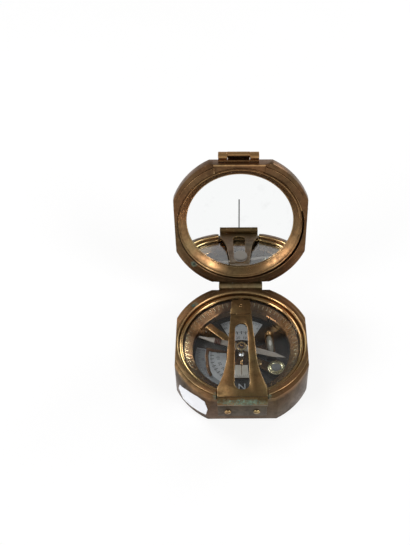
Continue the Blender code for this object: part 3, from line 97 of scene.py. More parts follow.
# Where the photograph was taken from, in metres, and how far its frame is off the middle
CAMERA_PLACE = (-0.005652, AXIS_Y - 0.245999, 0.352273)
CAMERA_SHIFT = (-0.0668, 0.1286)


def CountProperty(name, description, default, least):
    return IntProperty(name=name, description=description, default=default, min=least)


def LengthProperty(name, description, default):
    return FloatProperty(
        name=name, description=description, default=default * MM, unit="LENGTH", subtype="DISTANCE"
    )


def AngleProperty(name, description, default):
    return FloatProperty(name=name, description=description, default=math.radians(default), subtype="ANGLE")


def ColourProperty(name, description, *default):
    return FloatVectorProperty(name=name, description=description, subtype="COLOR", size=3, default=default)


class TransitSizes(bpy.types.PropertyGroup):
    """Sizes of the finish work."""

    round_steps: CountProperty("Round Steps", "Sides of a large turned piece", 144, 24)
    small_steps: CountProperty("Small Steps", "Sides of a small turned piece", 40, 12)
    edge: LengthProperty("Edge", "Worn round on the case's edges", 0.35)
    fine_edge: LengthProperty("Fine Edge", "Worn round on sheet pieces", 0.16)
    ring_marks: CountProperty("Ring Marks", "Marks on the graduated ring", 144, 36)
    mark_width: LengthProperty("Mark Width", "Width of an engraved mark", 0.14)


class TransitColours(bpy.types.PropertyGroup):
    """Colours of the finishes."""

    patina: ColourProperty("Patina", "Dark brown of the aged brass", 0.082, 0.046, 0.024)
    brass: ColourProperty("Brass", "Handled brass of the case", 0.200, 0.116, 0.058)
    gold: ColourProperty("Gold", "Polished brass of rings and edges", 0.440, 0.295, 0.145)
    silver: ColourProperty("Silver", "Silvered vernier", 0.340, 0.320, 0.285)
    enamel: ColourProperty("Enamel", "White scale plates", 0.420, 0.440, 0.465)
    dial: ColourProperty("Dial", "Dark dial floor", 0.009, 0.0085, 0.008)
    verdigris: ColourProperty("Verdigris", "Green bloom in the corners", 0.050, 0.078, 0.054)


class TransitStage(bpy.types.PropertyGroup):
    """The camera."""

    lens: FloatProperty(name="Lens", description="Focal length of the camera", default=47.64, unit="CAMERA")
    pitch: AngleProperty("Pitch", "How far the camera looks down", 53.453)
    yaw: AngleProperty("Yaw", "How far the camera looks to the right", 1.307)
    roll: AngleProperty("Roll", "Tilt of the camera", 0.657)


def sizes():
    return bpy.context.scene.transit_sizes


def colours():
    return bpy.context.scene.transit_colours


def mode(kind):
    bpy.ops.object.mode_set(mode=kind)


def begin():
    """Leave edit mode, deselect everything and go back to selecting points."""
    if bpy.context.object and bpy.context.object.mode != "OBJECT":
        mode("OBJECT")
    bpy.ops.object.select_all(action="DESELECT")
    bpy.context.tool_settings.mesh_select_mode = (True, False, False)


def choose(*pieces):
    begin()
    for piece in pieces:
        piece.select_set(True)
    bpy.context.view_layer.objects.active = pieces[-1]


def select(action="SELECT"):
    bpy.ops.mesh.select_all(action=action)


def apply_place():
    bpy.ops.object.transform_apply(location=True, rotation=True, scale=True)


def at(x, y=0, z=0):
    """A shift, given in mm."""
    return Matrix.Translation((x * MM, y * MM, z * MM))


def spin(degrees, axis="Z"):
    return Matrix.Rotation(math.radians(degrees), 4, axis)


def close_up(name, place=None):
    """End the edit of a new piece: weld it, turn its faces outwards and apply its place."""
    select()
    bpy.ops.mesh.remove_doubles(threshold=1e-7)
    bpy.ops.mesh.normals_make_consistent(inside=False)
    mode("OBJECT")
    piece = bpy.context.object
    piece.name = name
    apply_place()
    return move(piece, place) if place else piece


def turned(name, profile, steps, ring=False, place=None):
    """Turn a piece about Z: a circle is drawn from one (radius, height) point to the next."""
    begin()
    radius, height = profile[0]
    bpy.ops.mesh.primitive_circle_add(
        vertices=steps, radius=radius * MM, location=(0, 0, height * MM),
        fill_type="NOTHING" if ring else "NGON", enter_editmode=True,
    )
    for next_radius, next_height in profile[1:] + (profile[:1] if ring else []):
        rise, share = (next_height - height) * MM, next_radius / radius
        bpy.ops.mesh.extrude_region_move(TRANSFORM_OT_translate={"value": (0, 0, rise)})
        bpy.ops.transform.resize(value=(share, share, 1), center_override=(0, 0, next_height * MM))
        radius, height = next_radius, next_height
    return close_up(name, place)


def rod(name, radius, low, high, steps, place=None):
    return turned(name, [(radius, low), (radius, high)], steps, place=place)


def drawn(name, outline, low, high=None):
    """A flat plate: its outline is drawn point by point, filled and pulled up, unless it is a sheet."""
    begin()
    x, y = outline[0]
    bpy.ops.mesh.primitive_plane_add(size=MM, location=(x * MM, y * MM, low * MM), enter_editmode=True)
    bpy.ops.mesh.merge(type="CENTER")
    for next_x, next_y in outline[1:]:
        step = ((next_x - x) * MM, (next_y - y) * MM, 0)
        bpy.ops.mesh.extrude_vertices_move(TRANSFORM_OT_translate={"value": step})
        x, y = next_x, next_y
    select()
    bpy.ops.mesh.edge_face_add()
    if high is not None:
        bpy.ops.mesh.extrude_region_move(TRANSFORM_OT_translate={"value": (0, 0, (high - low) * MM)})
    return close_up(name)


def block(name, low, high):
    begin()
    middle = [(a + b) / 2 * MM for a, b in zip(low, high)]
    size = [(b - a) * MM for a, b in zip(low, high)]
    bpy.ops.mesh.primitive_cube_add(size=1, location=middle, scale=size, enter_editmode=True)
    return close_up(name)


def move(piece, matrix):
    choose(piece)
    piece.matrix_world = matrix
    apply_place()
    return piece


def along_x(piece, place):
    return move(piece, at(*place) @ spin(90, "Y"))


def apply_modifier(piece, kind, **settings):
    choose(piece)
    change = piece.modifiers.new(kind.lower(), kind)
    for key, value in settings.items():
        setattr(change, key, value)
    bpy.ops.object.modifier_apply(modifier=change.name)
    return piece


def combine(piece, operation, *tools):
    """Cut or join with other pieces, which are used up."""
    for tool in tools:
        apply_modifier(piece, "BOOLEAN", operation=operation, object=tool, solver="EXACT")
        bpy.data.objects.remove(tool, do_unlink=True)
    return piece


def cut(piece, *tools):
    return combine(piece, "DIFFERENCE", *tools)


def soften(piece, width=None, segments=2, angle=35):
    """Round the edges, mark the new faces as worn and shade the piece smoothly."""
    two_slots(piece)
    apply_modifier(
        piece, "BEVEL", width=width * MM if width else sizes().fine_edge, segments=segments,
        limit_method="ANGLE", angle_limit=math.radians(angle), use_clamp_overlap=True,
        miter_outer="MITER_ARC", material=1,
    )
    return smooth(piece)


def two_slots(piece):
    """Room for a finish and for the same finish worn bright, which in the lid's pocket is a painted
    highlight.
    """
    while len(piece.data.materials) < 2:
        piece.data.materials.append(None)


def wear_faces(piece, test):
    """Mark the faces that pass a test for the bright worn finish: real wear on the case, painted highlight in
    the lid's pocket.
    """
    two_slots(piece)
    for face in piece.data.polygons:
        if test(face):
            face.material_index = 1


def smooth(piece, angle=32):
    choose(piece)
    bpy.ops.object.shade_smooth_by_angle(angle=math.radians(angle))
    return piece


def join(name, pieces):
    choose(*pieces)
    if len(pieces) > 1:
        bpy.ops.object.join()
    joined = bpy.context.object
    joined.name = name
    return joined


def copy_of(piece, matrix):
    """A copy with its own mesh, put in its place."""
    choose(piece)
    bpy.ops.object.duplicate(linked=False)
    return move(bpy.context.object, matrix)


def seat(piece, body, slot, finish, *nodes):
    """Put a piece from the case's place into the frame, on its body, in place of its CAD nodes."""
    place = Matrix.Translation((0, AXIS_Y, 0))
    if body in ("lid", "lid_sight"):
        place = place @ Matrix.Translation(LID_AXIS) @ spin(-LID_OPEN, "X") @ Matrix.Translation(-LID_AXIS)
    move(piece, place)
    piece.data.name = piece.name
    skin = bpy.data.materials[finish]
    if len(piece.data.materials) > 1:
        piece.data.materials[0] = skin
        piece.data.materials[1] = bpy.data.materials.get(finish + "_worn", skin)
    else:
        piece.data.materials.clear()
        piece.data.materials.append(skin)
    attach(piece, body)
    if nodes:
        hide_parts(*nodes)


def polar(radius, azimuth):
    return radius * math.cos(math.radians(azimuth)), radius * math.sin(math.radians(azimuth))


def arc(radius, start, stop, steps, centre=(0, 0)):
    points = []
    for i in range(steps + 1):
        x, y = polar(radius, start + (stop - start) * i / steps)
        points.append((centre[0] + x, centre[1] + y))
    return points


def cap(radius, base, rise, turns=CAP, middle=0):
    """Profile of a rounded cap that rises from a base, or of a bead round a middle radius."""
    return [(middle + radius * math.cos(a), base + rise * math.sin(a)) for a in turns]


def angles(start, stop, step):
    return [math.radians(degrees) for degrees in range(start, stop, step)]


def both_sides(right):
    """An outline from its right half, which may end on the middle line."""
    left = right[:-1] if right[-1][0] == 0 else right
    return right + [(-x, y) for x, y in reversed(left)]


def plug(tree, socket, value):
    """Set a socket, or link it if the value is another node's output."""
    if isinstance(value, bpy.types.NodeSocket):
        tree.links.new(value, socket)
    else:
        socket.default_value = value


def feed(tree, made, **values):
    for key, value in values.items():
        plug(tree, made.inputs[key.replace("_", " ")], value)


def node(tree, kind, *values, **settings):
    """A shader node with its inputs in order; names with a capital are inputs too, the rest settings."""
    made = tree.nodes.new(kind)
    for key, value in settings.items():
        if key[0].isupper():
            feed(tree, made, **{key: value})
        else:
            setattr(made, key, value)
    for socket, value in zip(made.inputs, values):
        plug(tree, socket, value)
    return made


def blend(tree, share, first, second, kind="MIX"):
    """Mix two colours; each may be a socket or a plain colour."""
    mix = node(tree, "ShaderNodeMix", data_type="RGBA", blend_type=kind)
    plug(tree, mix.inputs[0], share)
    for socket, value in ((mix.inputs[6], first), (mix.inputs[7], second)):
        plug(tree, socket, value if isinstance(value, bpy.types.NodeSocket) else (*value[:3], 1))
    return mix.outputs[2]


def maths(tree, operation, first, second=0.0, third=0.0):
    return node(tree, "ShaderNodeMath", first, second, third, operation=operation).outputs[0]


def spread(tree, value, low, high, start=0.0, stop=1.0):
    """Map a value from one range to another, held at both ends."""
    return node(tree, "ShaderNodeMapRange", value, low, high, start, stop).outputs[0]


def noise(tree, place, scale, detail=4.0, roughness=0.55, stretch=(1, 1, 1)):
    mapped = node(tree, "ShaderNodeMapping", Vector=place, Scale=stretch).outputs[0]
    texture = node(tree, "ShaderNodeTexNoise", Vector=mapped, Scale=scale, Detail=detail, Roughness=roughness)
    return texture.outputs["Fac"]


def vector_maths(tree, operation, *values):
    return node(tree, "ShaderNodeVectorMath", *values, operation=operation).outputs


def new_group(name, inputs, outputs):
    tree = bpy.data.node_groups.new(name, "ShaderNodeTree")
    for label, kind, default in inputs:
        socket = tree.interface.new_socket(label, in_out="INPUT", socket_type="NodeSocket" + kind)
        if default is not None:
            socket.default_value = default
    for label in outputs:
        tree.interface.new_socket(label, in_out="OUTPUT", socket_type="NodeSocketFloat")
    return tree, tree.nodes.new("NodeGroupInput").outputs, tree.nodes.new("NodeGroupOutput")


def wear_group():
    """Mottled tarnish, handling scratches and fine grain, all in object coordinates."""
    tree, given, out = new_group(
        "metal_wear", [("Place", "Vector", None), ("Tarnish", "Float", 0.5)],
        ["Tarnish", "Scratches", "Grain"])
    place = given["Place"]
    clouds = noise(tree, place, 85.0, 6.0, 0.62)
    specks = noise(tree, place, 520.0, 3.0, 0.6)
    mixed = maths(tree, "MULTIPLY_ADD", specks, 0.35, maths(tree, "MULTIPLY", clouds, 0.75))
    level = maths(tree, "SUBTRACT", 1.0, given["Tarnish"])
    tarnish = node(
        tree, "ShaderNodeMapRange", mixed, maths(tree, "MULTIPLY_ADD", level, 0.5, 0.08),
        maths(tree, "MULTIPLY_ADD", level, 0.5, 0.56), interpolation_type="SMOOTHSTEP")
    drift = node(tree, "ShaderNodeTexNoise", Vector=place, Scale=22.0, Detail=1.0).outputs["Color"]
    warp = vector_maths(tree, "MULTIPLY_ADD", drift, (0.006, 0.006, 0.006), place)[0]
    lines = None
    for turn in (0.45, 1.35, 2.4):
        spun = node(tree, "ShaderNodeMapping", Vector=warp, Rotation=(turn * 0.7, turn * 0.4, turn))
        streak = spread(tree, noise(tree, spun.outputs[0], 60.0, 3.0, 0.6, (1.0, 30.0, 30.0)), 0.66, 0.76)
        lines = streak if lines is None else maths(tree, "MAXIMUM", lines, streak)
    grain = noise(tree, place, 1500.0, 2.0, 0.5)
    feed(tree, out, Tarnish=tarnish.outputs[0], Scratches=lines, Grain=grain)


def bloom_group():
    """A green bloom around one spot, broken up by noise."""
    tree, given, out = new_group(
        "green_bloom",
        [("Place", "Vector", None), ("Spot", "Vector", (0, 0, 0)), ("Spread", "Vector", (1, 1, 1))], ["Mask"])
    offset = vector_maths(tree, "SUBTRACT", given["Place"], given["Spot"])[0]
    share = vector_maths(tree, "DIVIDE", offset, given["Spread"])[0]
    far = vector_maths(tree, "LENGTH", share)["Value"]
    ragged = noise(tree, given["Place"], 520.0, 4.0, 0.65)
    reach = maths(tree, "MULTIPLY_ADD", ragged, 1.6, maths(tree, "SUBTRACT", 0.2, far))
    flakes = spread(tree, noise(tree, given["Place"], 1100.0, 3.0, 0.6), 0.40, 0.58, 0.25, 0.95)
    feed(tree, out, Mask=maths(tree, "MULTIPLY", spread(tree, reach, 0.0, 0.35), flakes))


def new_material(name):
    """A material's tree, its object coordinates and its Principled shader."""
    material = bpy.data.materials.new(name)
    material.use_nodes = True
    tree = material.node_tree
    place = tree.nodes.new("ShaderNodeTexCoord").outputs["Object"]
    return tree, place, tree.nodes["Principled BSDF"]


def use_group(tree, name, place, **values):
    made = node(tree, "ShaderNodeGroup", node_tree=bpy.data.node_groups[name])
    feed(tree, made, Place=place, **values)
    return made.outputs


def bump(tree, height, strength):
    made = node(tree, "ShaderNodeBump", Strength=strength, Distance=0.0002, Height=height)
    return made.outputs[0]


def show_mix(tree, share, first, second):
    """Show two shaders mixed."""
    mix = node(tree, "ShaderNodeMixShader", share, first.outputs[0], second.outputs[0])
    feed(tree, tree.nodes["Material Output"], Surface=mix.outputs[0])


def times(colour, factor):
    return [c * factor for c in colour]


def metal(name, dull, bright, worn, tarnish, roughness, green=(), grain=0.05, painted_shade=None):
    """A worn metal: dull where it has tarnished, bright in scratches, with green bloom at chosen spots, and
    painted shade that darkens it below a given height where asked.
    """
    tree, place, shader = new_material(name)
    wear = use_group(tree, "metal_wear", place, Tarnish=tarnish)
    colour = blend(tree, wear["Tarnish"], bright, dull)
    colour = blend(tree, maths(tree, "MULTIPLY", wear["Scratches"], 0.5), colour, worn)
    patches = spread(tree, noise(tree, place, 48.0, 3.0), 0.35, 0.65)
    tint = blend(tree, patches, (1.12, 0.97, 0.88), (0.92, 1.02, 0.98))
    colour = blend(tree, 1.0, colour, tint, "MULTIPLY")
    # Painted shade: the colour is darkened towards the bottom, below a given height.
    if painted_shade:
        height = node(tree, "ShaderNodeSeparateXYZ", place).outputs["Z"]
        colour = blend(tree, 1.0, colour, spread(tree, height, *painted_shade, 1.0), "MULTIPLY")
    low, high = roughness
    rough = maths(tree, "MULTIPLY_ADD", wear["Tarnish"], high - low, low)
    rough = maths(tree, "MULTIPLY_ADD", wear["Grain"], 0.06, rough)
    shine = 1.0
    for spot, reach in green:
        mask = use_group(tree, "green_bloom", place, Spot=spot, Spread=reach)["Mask"]
        mottle = spread(tree, noise(tree, place, 700.0, 3.0, 0.7), 0.38, 0.66)
        hue = blend(tree, mottle, colours().verdigris, times(colours().verdigris, 2.6))
        colour = blend(tree, mask, colour, hue)
        rough = maths(tree, "MAXIMUM", rough, maths(tree, "MULTIPLY", mask, 0.85))
        bare = maths(tree, "SUBTRACT", 1.0, mask)
        shine = bare if shine == 1.0 else maths(tree, "MULTIPLY", shine, bare)
    relief = maths(tree, "MULTIPLY_ADD", wear["Scratches"], -0.6, wear["Grain"])
    feed(tree, shader, Base_Color=colour, Roughness=rough, Metallic=shine, Normal=bump(tree, relief, grain))


def enamel(name, colour, dirt, roughness, amount=0.35):
    """Fired enamel or paint with faint stains."""
    tree, place, shader = new_material(name)
    stains = spread(tree, noise(tree, place, 160.0, 5.0, 0.6), 0.42, 0.75, 0.0, amount)
    fine = noise(tree, place, 900.0, 3.0)
    feed(tree, shader, Base_Color=blend(tree, stains, colour, dirt), Normal=bump(tree, fine, 0.04),
         Roughness=maths(tree, "MULTIPLY_ADD", fine, 0.2, roughness))


def glass(name, tint, roughness=0.02, smear=0.03):
    """Clear glass that lets light reach what lies under it."""
    tree, place, shader = new_material(name)
    smudge = spread(tree, noise(tree, place, 120.0, 5.0, 0.65), 0.5, 0.8, roughness, roughness + smear)
    colour = blend(tree, noise(tree, place, 60.0), tint, [min(1.0, c * 1.04) for c in tint])
    feed(tree, shader, Transmission_Weight=1.0, IOR=1.45, Roughness=smudge, Base_Color=colour)
    clear = node(tree, "ShaderNodeBsdfTransparent", Color=(*tint, 1))
    path = tree.nodes.new("ShaderNodeLightPath").outputs
    through = maths(tree, "MAXIMUM", path["Is Shadow Ray"], path["Is Diffuse Ray"])
    show_mix(tree, through, shader, clear)


def mirror_silver(name):
    """Silvering behind plate glass, with a trace of haze."""
    tree, place, shader = new_material(name)
    haze = spread(tree, noise(tree, place, 90.0, 5.0, 0.6), 0.55, 0.85)
    feed(tree, shader, Base_Color=blend(tree, haze, (0.93, 0.94, 0.94), (0.84, 0.85, 0.85)), Metallic=1.0,
         Roughness=maths(tree, "MULTIPLY_ADD", haze, 0.03, 0.005))


def white_ground(name, share):
    """A pale floor that reads as white and still takes the object's shadow."""
    tree, place, shader = new_material(name)
    tone = spread(tree, noise(tree, place, 8.0), 0.3, 0.7, 0.84, 0.88)
    grey = node(tree, "ShaderNodeCombineColor", tone, tone, tone).outputs[0]
    feed(tree, shader, Base_Color=grey, Roughness=0.9)
    glow = node(tree, "ShaderNodeEmission", Color=(1, 1, 1, 1), Strength=1.0)
    path = tree.nodes.new("ShaderNodeLightPath").outputs
    seen = maths(tree, "MAXIMUM", path["Is Camera Ray"], path["Is Glossy Ray"])
    seen = maths(tree, "MAXIMUM", seen, path["Is Transmission Ray"])
    show_mix(tree, maths(tree, "MULTIPLY", seen, share), shader, glow)


def spot(place, reach):
    """A spot on the case for green bloom: its middle and how far it spreads, both in mm."""
    return Vector(place) * MM + Vector((0, AXIS_Y, 0)), Vector(reach) * MM


def swung(place):
    """Where a point of the closed lid is in the frame, with the lid open."""
    return Vector((0, AXIS_Y, 0)) + LID_AXIS + spin(-LID_OPEN, "X") @ (Vector(place) * MM - LID_AXIS)


class TRANSIT_OT_finishes(bpy.types.Operator):
    """Make every finish and give the CAD nodes that stay in view theirs"""

    bl_idname = "transit.finishes"
    bl_label = "Finishes"

    kept = {
        "case_brass": ["crank_lever", "lift_bracket"],
        "polished_brass": ["clinometer_bush", "clinometer_shaft", "crank_screw", "needle_hub"],
        "ring_brass": ["graduated_ring"],
        "verdigris": ["lift_pin"],
        "dark_brass": ["vernier_arm", "tube_level_holder"],
        "hinge_brass": ["rear_hinge_pin", "front_hinge_pin", "peep_pin"],
        # The lid sight's pin is near black: painted shade in the slot round it.
        "dark_brass_deep": ["lid_sight_pin"],
        "screw_brass": ["adjusting_pinion"],
        "steel": ["needle_pivot", "lift_pivot_pin", "lift_spring"],
        "dial_slate": ["dial_plate"],
        "scale_white": ["degree_scale", "percent_scale"],
        "ruby": ["needle_jewel"],
    }

    def execute(self, context):
        wear_group()
        bloom_group()
        self.make_brass(colours())
        self.make_others(colours())
        for name, nodes in self.kept.items():
            for node_name in nodes:
                skins = frame["nodes"][node_name].data.materials
                skins.clear()
                skins.append(bpy.data.materials[name])
        return {"FINISHED"}

    def make_brass(self, tone):
        patina, brass, gold = tone.patina, tone.brass, tone.gold
        olive, pale_olive = (0.070, 0.043, 0.020), (0.196, 0.124, 0.057)
        barrel = spot((0, -42.6, 24.4), (16.0, 1.9, 2.2))
        case_spots = [spot((-27.2, 26.3, 22.5), (2.3, 2.3, 1.2))]
        for x in (-14.6, 14.6):
            case_spots.append(spot((x, -36.6, 21.4), (1.6, 2.4, 1.4)))
        lid_spot = (swung((*LID_STUD, LID_RIM)), Vector((2.2, 1.6, 2.2)) * MM)
        # The case and the hinge brass carry painted shade, darker below the rim.
        metal("case_brass", times(patina, 1.2), times(brass, 1.2), gold, 0.50, (0.26, 0.50), case_spots,
              painted_shade=(18.0 * MM, 21.0 * MM, 0.42))
        metal("lid_brass", times(patina, 0.8), times(brass, 0.76), gold, 0.46, (0.24, 0.48), [lid_spot])
        metal("arm_brass", olive, pale_olive, gold, 0.50, (0.30, 0.52), [barrel])
        metal("hinge_brass", olive, pale_olive, gold, 0.50, (0.26, 0.50), [barrel],
              painted_shade=(19.0 * MM, 21.5 * MM, 0.36))
        metal("rear_hinge_brass", times(olive, 1.5), (0.36, 0.27, 0.15), gold, 0.46, (0.24, 0.50))
        metal("lid_hinge_brass", times(olive, 2.3), times(pale_olive, 2.1), gold, 0.40, (0.28, 0.55))
        metal("case_brass_worn", times(brass, 1.2), times(gold, 0.9), times(gold, 1.2), 0.42, (0.22, 0.38))
        # On the lid the worn finish lies only on the pocket's lip and slanted wall, as a painted highlight.
        for name in ("lid", "arm", "lid_hinge"):
            metal(name + "_brass_worn", brass, gold, times(gold, 1.3), 0.42, (0.20, 0.36))
        metal("polished_brass", brass, gold, times(gold, 1.2), 0.30, (0.12, 0.30), grain=0.02)
        metal("screw_brass", patina, gold, gold, 0.45, (0.20, 0.45))
        metal("dark_brass", times(patina, 0.5), patina, brass, 0.5, (0.34, 0.55))
        # Near black brass: painted shade, on the lid sight's pin and on the mirror's seat.
        metal("dark_brass_deep", (0.016, 0.010, 0.006), (0.030, 0.018, 0.010), patina, 0.5, (0.40, 0.60))
        metal("frame_brass", patina, (0.330, 0.200, 0.096), gold, 0.44, (0.23, 0.44), grain=0.02)
        metal("ring_brass", times(patina, 0.8), times(brass, 1.05), gold, 0.42, (0.22, 0.40), grain=0.02)

    def make_others(self, tone):
        metal("steel", (0.16, 0.16, 0.16), (0.42, 0.42, 0.43), (0.62, 0.62, 0.63), 0.40, (0.25, 0.45))
        metal("copper", (0.050, 0.028, 0.028), (0.120, 0.062, 0.055), (0.26, 0.15, 0.12), 0.45, (0.30, 0.5))
        metal("blued", (0.02, 0.02, 0.024), (0.06, 0.06, 0.07), (0.12, 0.12, 0.13), 0.4, (0.3, 0.5))
        metal("eye_silver", (0.30, 0.26, 0.17), (0.58, 0.51, 0.35), (0.80, 0.73, 0.56), 0.36, (0.16, 0.30),
              grain=0.02)
        enamel("pale_silver", tone.silver, times(tone.silver, 0.6), 0.26, 0.5)
        enamel("needle_grey", (0.185, 0.162, 0.140), (0.115, 0.098, 0.082), 0.30, 0.5)
        enamel("dial_slate", times(tone.dial, 0.6), times(tone.dial, 1.6), 0.34, 0.6)
        enamel("scale_white", times(tone.enamel, 0.82), (0.14, 0.14, 0.135), 0.34, 0.4)
        # Darker grey enamel: a painted shadow on the outer part of the left scale.
        enamel("scale_grey", (0.130, 0.142, 0.155), (0.075, 0.080, 0.085), 0.34, 0.4)
        enamel("ink", (0.012, 0.012, 0.014), (0.035, 0.033, 0.03), 0.45)
        enamel("pale_ink", (0.34, 0.36, 0.39), (0.16, 0.16, 0.17), 0.4)
        enamel("paper", (0.74, 0.75, 0.78), (0.60, 0.60, 0.62), 0.55)
        enamel("ruby", (0.30, 0.012, 0.03), (0.42, 0.03, 0.05), 0.08)
        enamel("spirit", (0.150, 0.140, 0.118), (0.075, 0.070, 0.060), 0.06)
        enamel("bubble", (0.33, 0.325, 0.30), (0.22, 0.215, 0.195), 0.05)
        enamel("eye_grey", (0.125, 0.132, 0.135), (0.050, 0.052, 0.052), 0.06)
        enamel("verdigris", times(tone.verdigris, 0.5), times(tone.verdigris, 3.0), 0.5)
        glass("crystal", (0.97, 0.985, 0.98))
        # The window's glass is tinted dark grey: painted shadow of the lid on the floor seen through it.
        glass("window_glass", (0.20, 0.185, 0.165), 0.30, 0.15)
        mirror_silver("silvering")


class TRANSIT_OT_stage(bpy.types.Operator):
    """Lay the pale floor, hang the soft lights and set the camera where the photograph was taken"""

    bl_idname = "transit.stage"
    bl_label = "Stage"

    def execute(self, context):
        begin()
        bpy.ops.mesh.primitive_grid_add(
            x_subdivisions=4, y_subdivisions=4, size=8.0, location=(0, 0, -0.01 * MM))
        floor = context.object
        floor.name = "studio_floor"
        apply_place()
        white_ground("studio_floor_white", 0.80)
        floor.data.materials.append(bpy.data.materials["studio_floor_white"])
        self.light_world(context)
        lamp("key_light", (-0.80, -0.44, 0.48), (0, -0.01, 0.02), 0.42, 5.0)
        lamp("fill_light", (0.75, -0.40, 0.66), (0, -0.01, 0.03), 0.46, 5.5)
        lamp("top_light", (-0.40, 0.38, 0.71), (0, 0, 0.02), 0.34, 2.4)
        lamp("rear_light", (0.62, 0.66, 0.50), (0, 0, 0.02), 0.42, 3.0)
        self.set_camera(context, context.scene.transit_stage)
        context.scene.view_settings.view_transform = "Standard"
        return {"FINISHED"}

    def set_camera(self, context, stage):
        begin()
        ahead = math.cos(stage.pitch)
        forward = Vector((math.sin(stage.yaw) * ahead, math.cos(stage.yaw) * ahead, -math.sin(stage.pitch)))
        right = Vector((math.cos(stage.yaw), -math.sin(stage.yaw), 0))
        up = right.cross(forward)
        across = math.cos(stage.roll) * right + math.sin(stage.roll) * up
        above = math.cos(stage.roll) * up - math.sin(stage.roll) * right
        turn = Matrix((across, above, -forward)).transposed().to_4x4()
        bpy.ops.object.camera_add(location=(0, 0, 0))
        camera = context.object
        camera.name = "photograph_view"
        camera.matrix_world = Matrix.Translation(CAMERA_PLACE) @ turn
        camera.data.lens = stage.lens
        camera.data.sensor_width = 36.0
        camera.data.shift_x, camera.data.shift_y = CAMERA_SHIFT
        camera.data.clip_start = 0.01
        context.scene.camera = camera

    def light_world(self, context):
        """A plain room: white all round at the floor's edge, dim overhead."""
        world = bpy.data.worlds.new("studio_room")
        world.use_nodes = True
        context.scene.world = world
        tree = world.node_tree
        way = tree.nodes.new("ShaderNodeTexCoord").outputs["Generated"]
        height = node(tree, "ShaderNodeSeparateXYZ", way).outputs["Z"]
        room = blend(tree, spread(tree, height, 0.12, 0.62), (1, 1, 1), (0.24, 0.235, 0.23))
        feed(tree, tree.nodes["Background"], Color=room)


def lamp(name, place, aim, size, power):
    begin()
    bpy.ops.object.light_add(type="AREA", location=place)
    light = bpy.context.object
    light.name = name
    light.data.shape = "DISK"
    light.data.size = size
    light.data.energy = power
    light.rotation_euler = (Vector(aim) - Vector(place)).to_track_quat("-Z", "Y").to_euler()


def pick(kind, test):
    """In edit mode, select the faces or edges that pass a test, and no others."""
    shape = bpy.context.object.data
    bpy.ops.mesh.select_mode(type=kind)
    select("DESELECT")
    mode("OBJECT")
    for part in shape.polygons if kind == "FACE" else shape.edges:
        part.select = bool(test(part))
    mode("EDIT")


def slice_at(place, normal, **options):
    """In edit mode, cut the whole piece along a plane."""
    select()
    bpy.ops.mesh.bisect(plane_co=place, plane_no=normal, **options)


def flat_sided(name, low, high, draft):
    """The case's outline as a solid: an oval drum, wider below by its draft, cut flat on four sides."""
    begin()
    wide, long = CORNER_X + draft, CORNER_Y + draft
    bpy.ops.mesh.primitive_cylinder_add(
        vertices=sizes().round_steps * 2, radius=wide * MM, depth=(high - low) * MM,
        location=(0, 0, (low + high) / 2 * MM), enter_editmode=True,
    )
    bpy.ops.transform.resize(value=(1, long / wide, 1), center_override=(0, 0, 0))
    pick("FACE", lambda face: face.normal.z > 0.9)
    bpy.ops.transform.resize(value=(CORNER_X / wide, CORNER_Y / long, 1), center_override=(0, 0, 0))
    for way, reach in (((1, 0, 0), HALF_WIDTH), ((0, 1, 0), HALF_LENGTH)):
        for side in (-1, 1):
            normal = Vector(way) * side
            slice_at(normal * (reach * MM), normal, use_fill=True, clear_outer=True)
    return close_up(name)


def round_edges(piece, test, width, segments):
    """Bevel the edges whose two ends, in mm, pass a test."""
    choose(piece)
    mode("EDIT")
    pick("EDGE", lambda edge: test(*[piece.data.vertices[i].co / MM for i in edge.vertices]))
    bpy.ops.mesh.bevel(offset=width * MM, segments=segments, affect="EDGES", clamp_overlap=True)
    mode("OBJECT")


def at_height(height):
    return lambda a, b: abs(a.z - height) < NEAR and abs(b.z - height) < NEAR


def at_rim_flats(height):
    """Edges of the rim where it meets the four flats."""
    def test(a, b):
        wide = all(abs(abs(p.x) - HALF_WIDTH) < NEAR for p in (a, b)) and a.x * b.x > 0
        long = all(abs(abs(p.y) - HALF_LENGTH) < NEAR for p in (a, b)) and a.y * b.y > 0
        return at_height(height)(a, b) and (wide or long)
    return test


def at_lands(height):
    """Edges of the corner lands on the outside of the case or lid."""
    def outside(p):
        oval = (p.x / CORNER_X) ** 2 + (p.y / CORNER_Y) ** 2
        return oval > 0.97 and math.hypot(p.x, p.y) > RIM_RADIUS + 0.3
    return lambda a, b: at_height(height)(a, b) and outside(a) and outside(b)


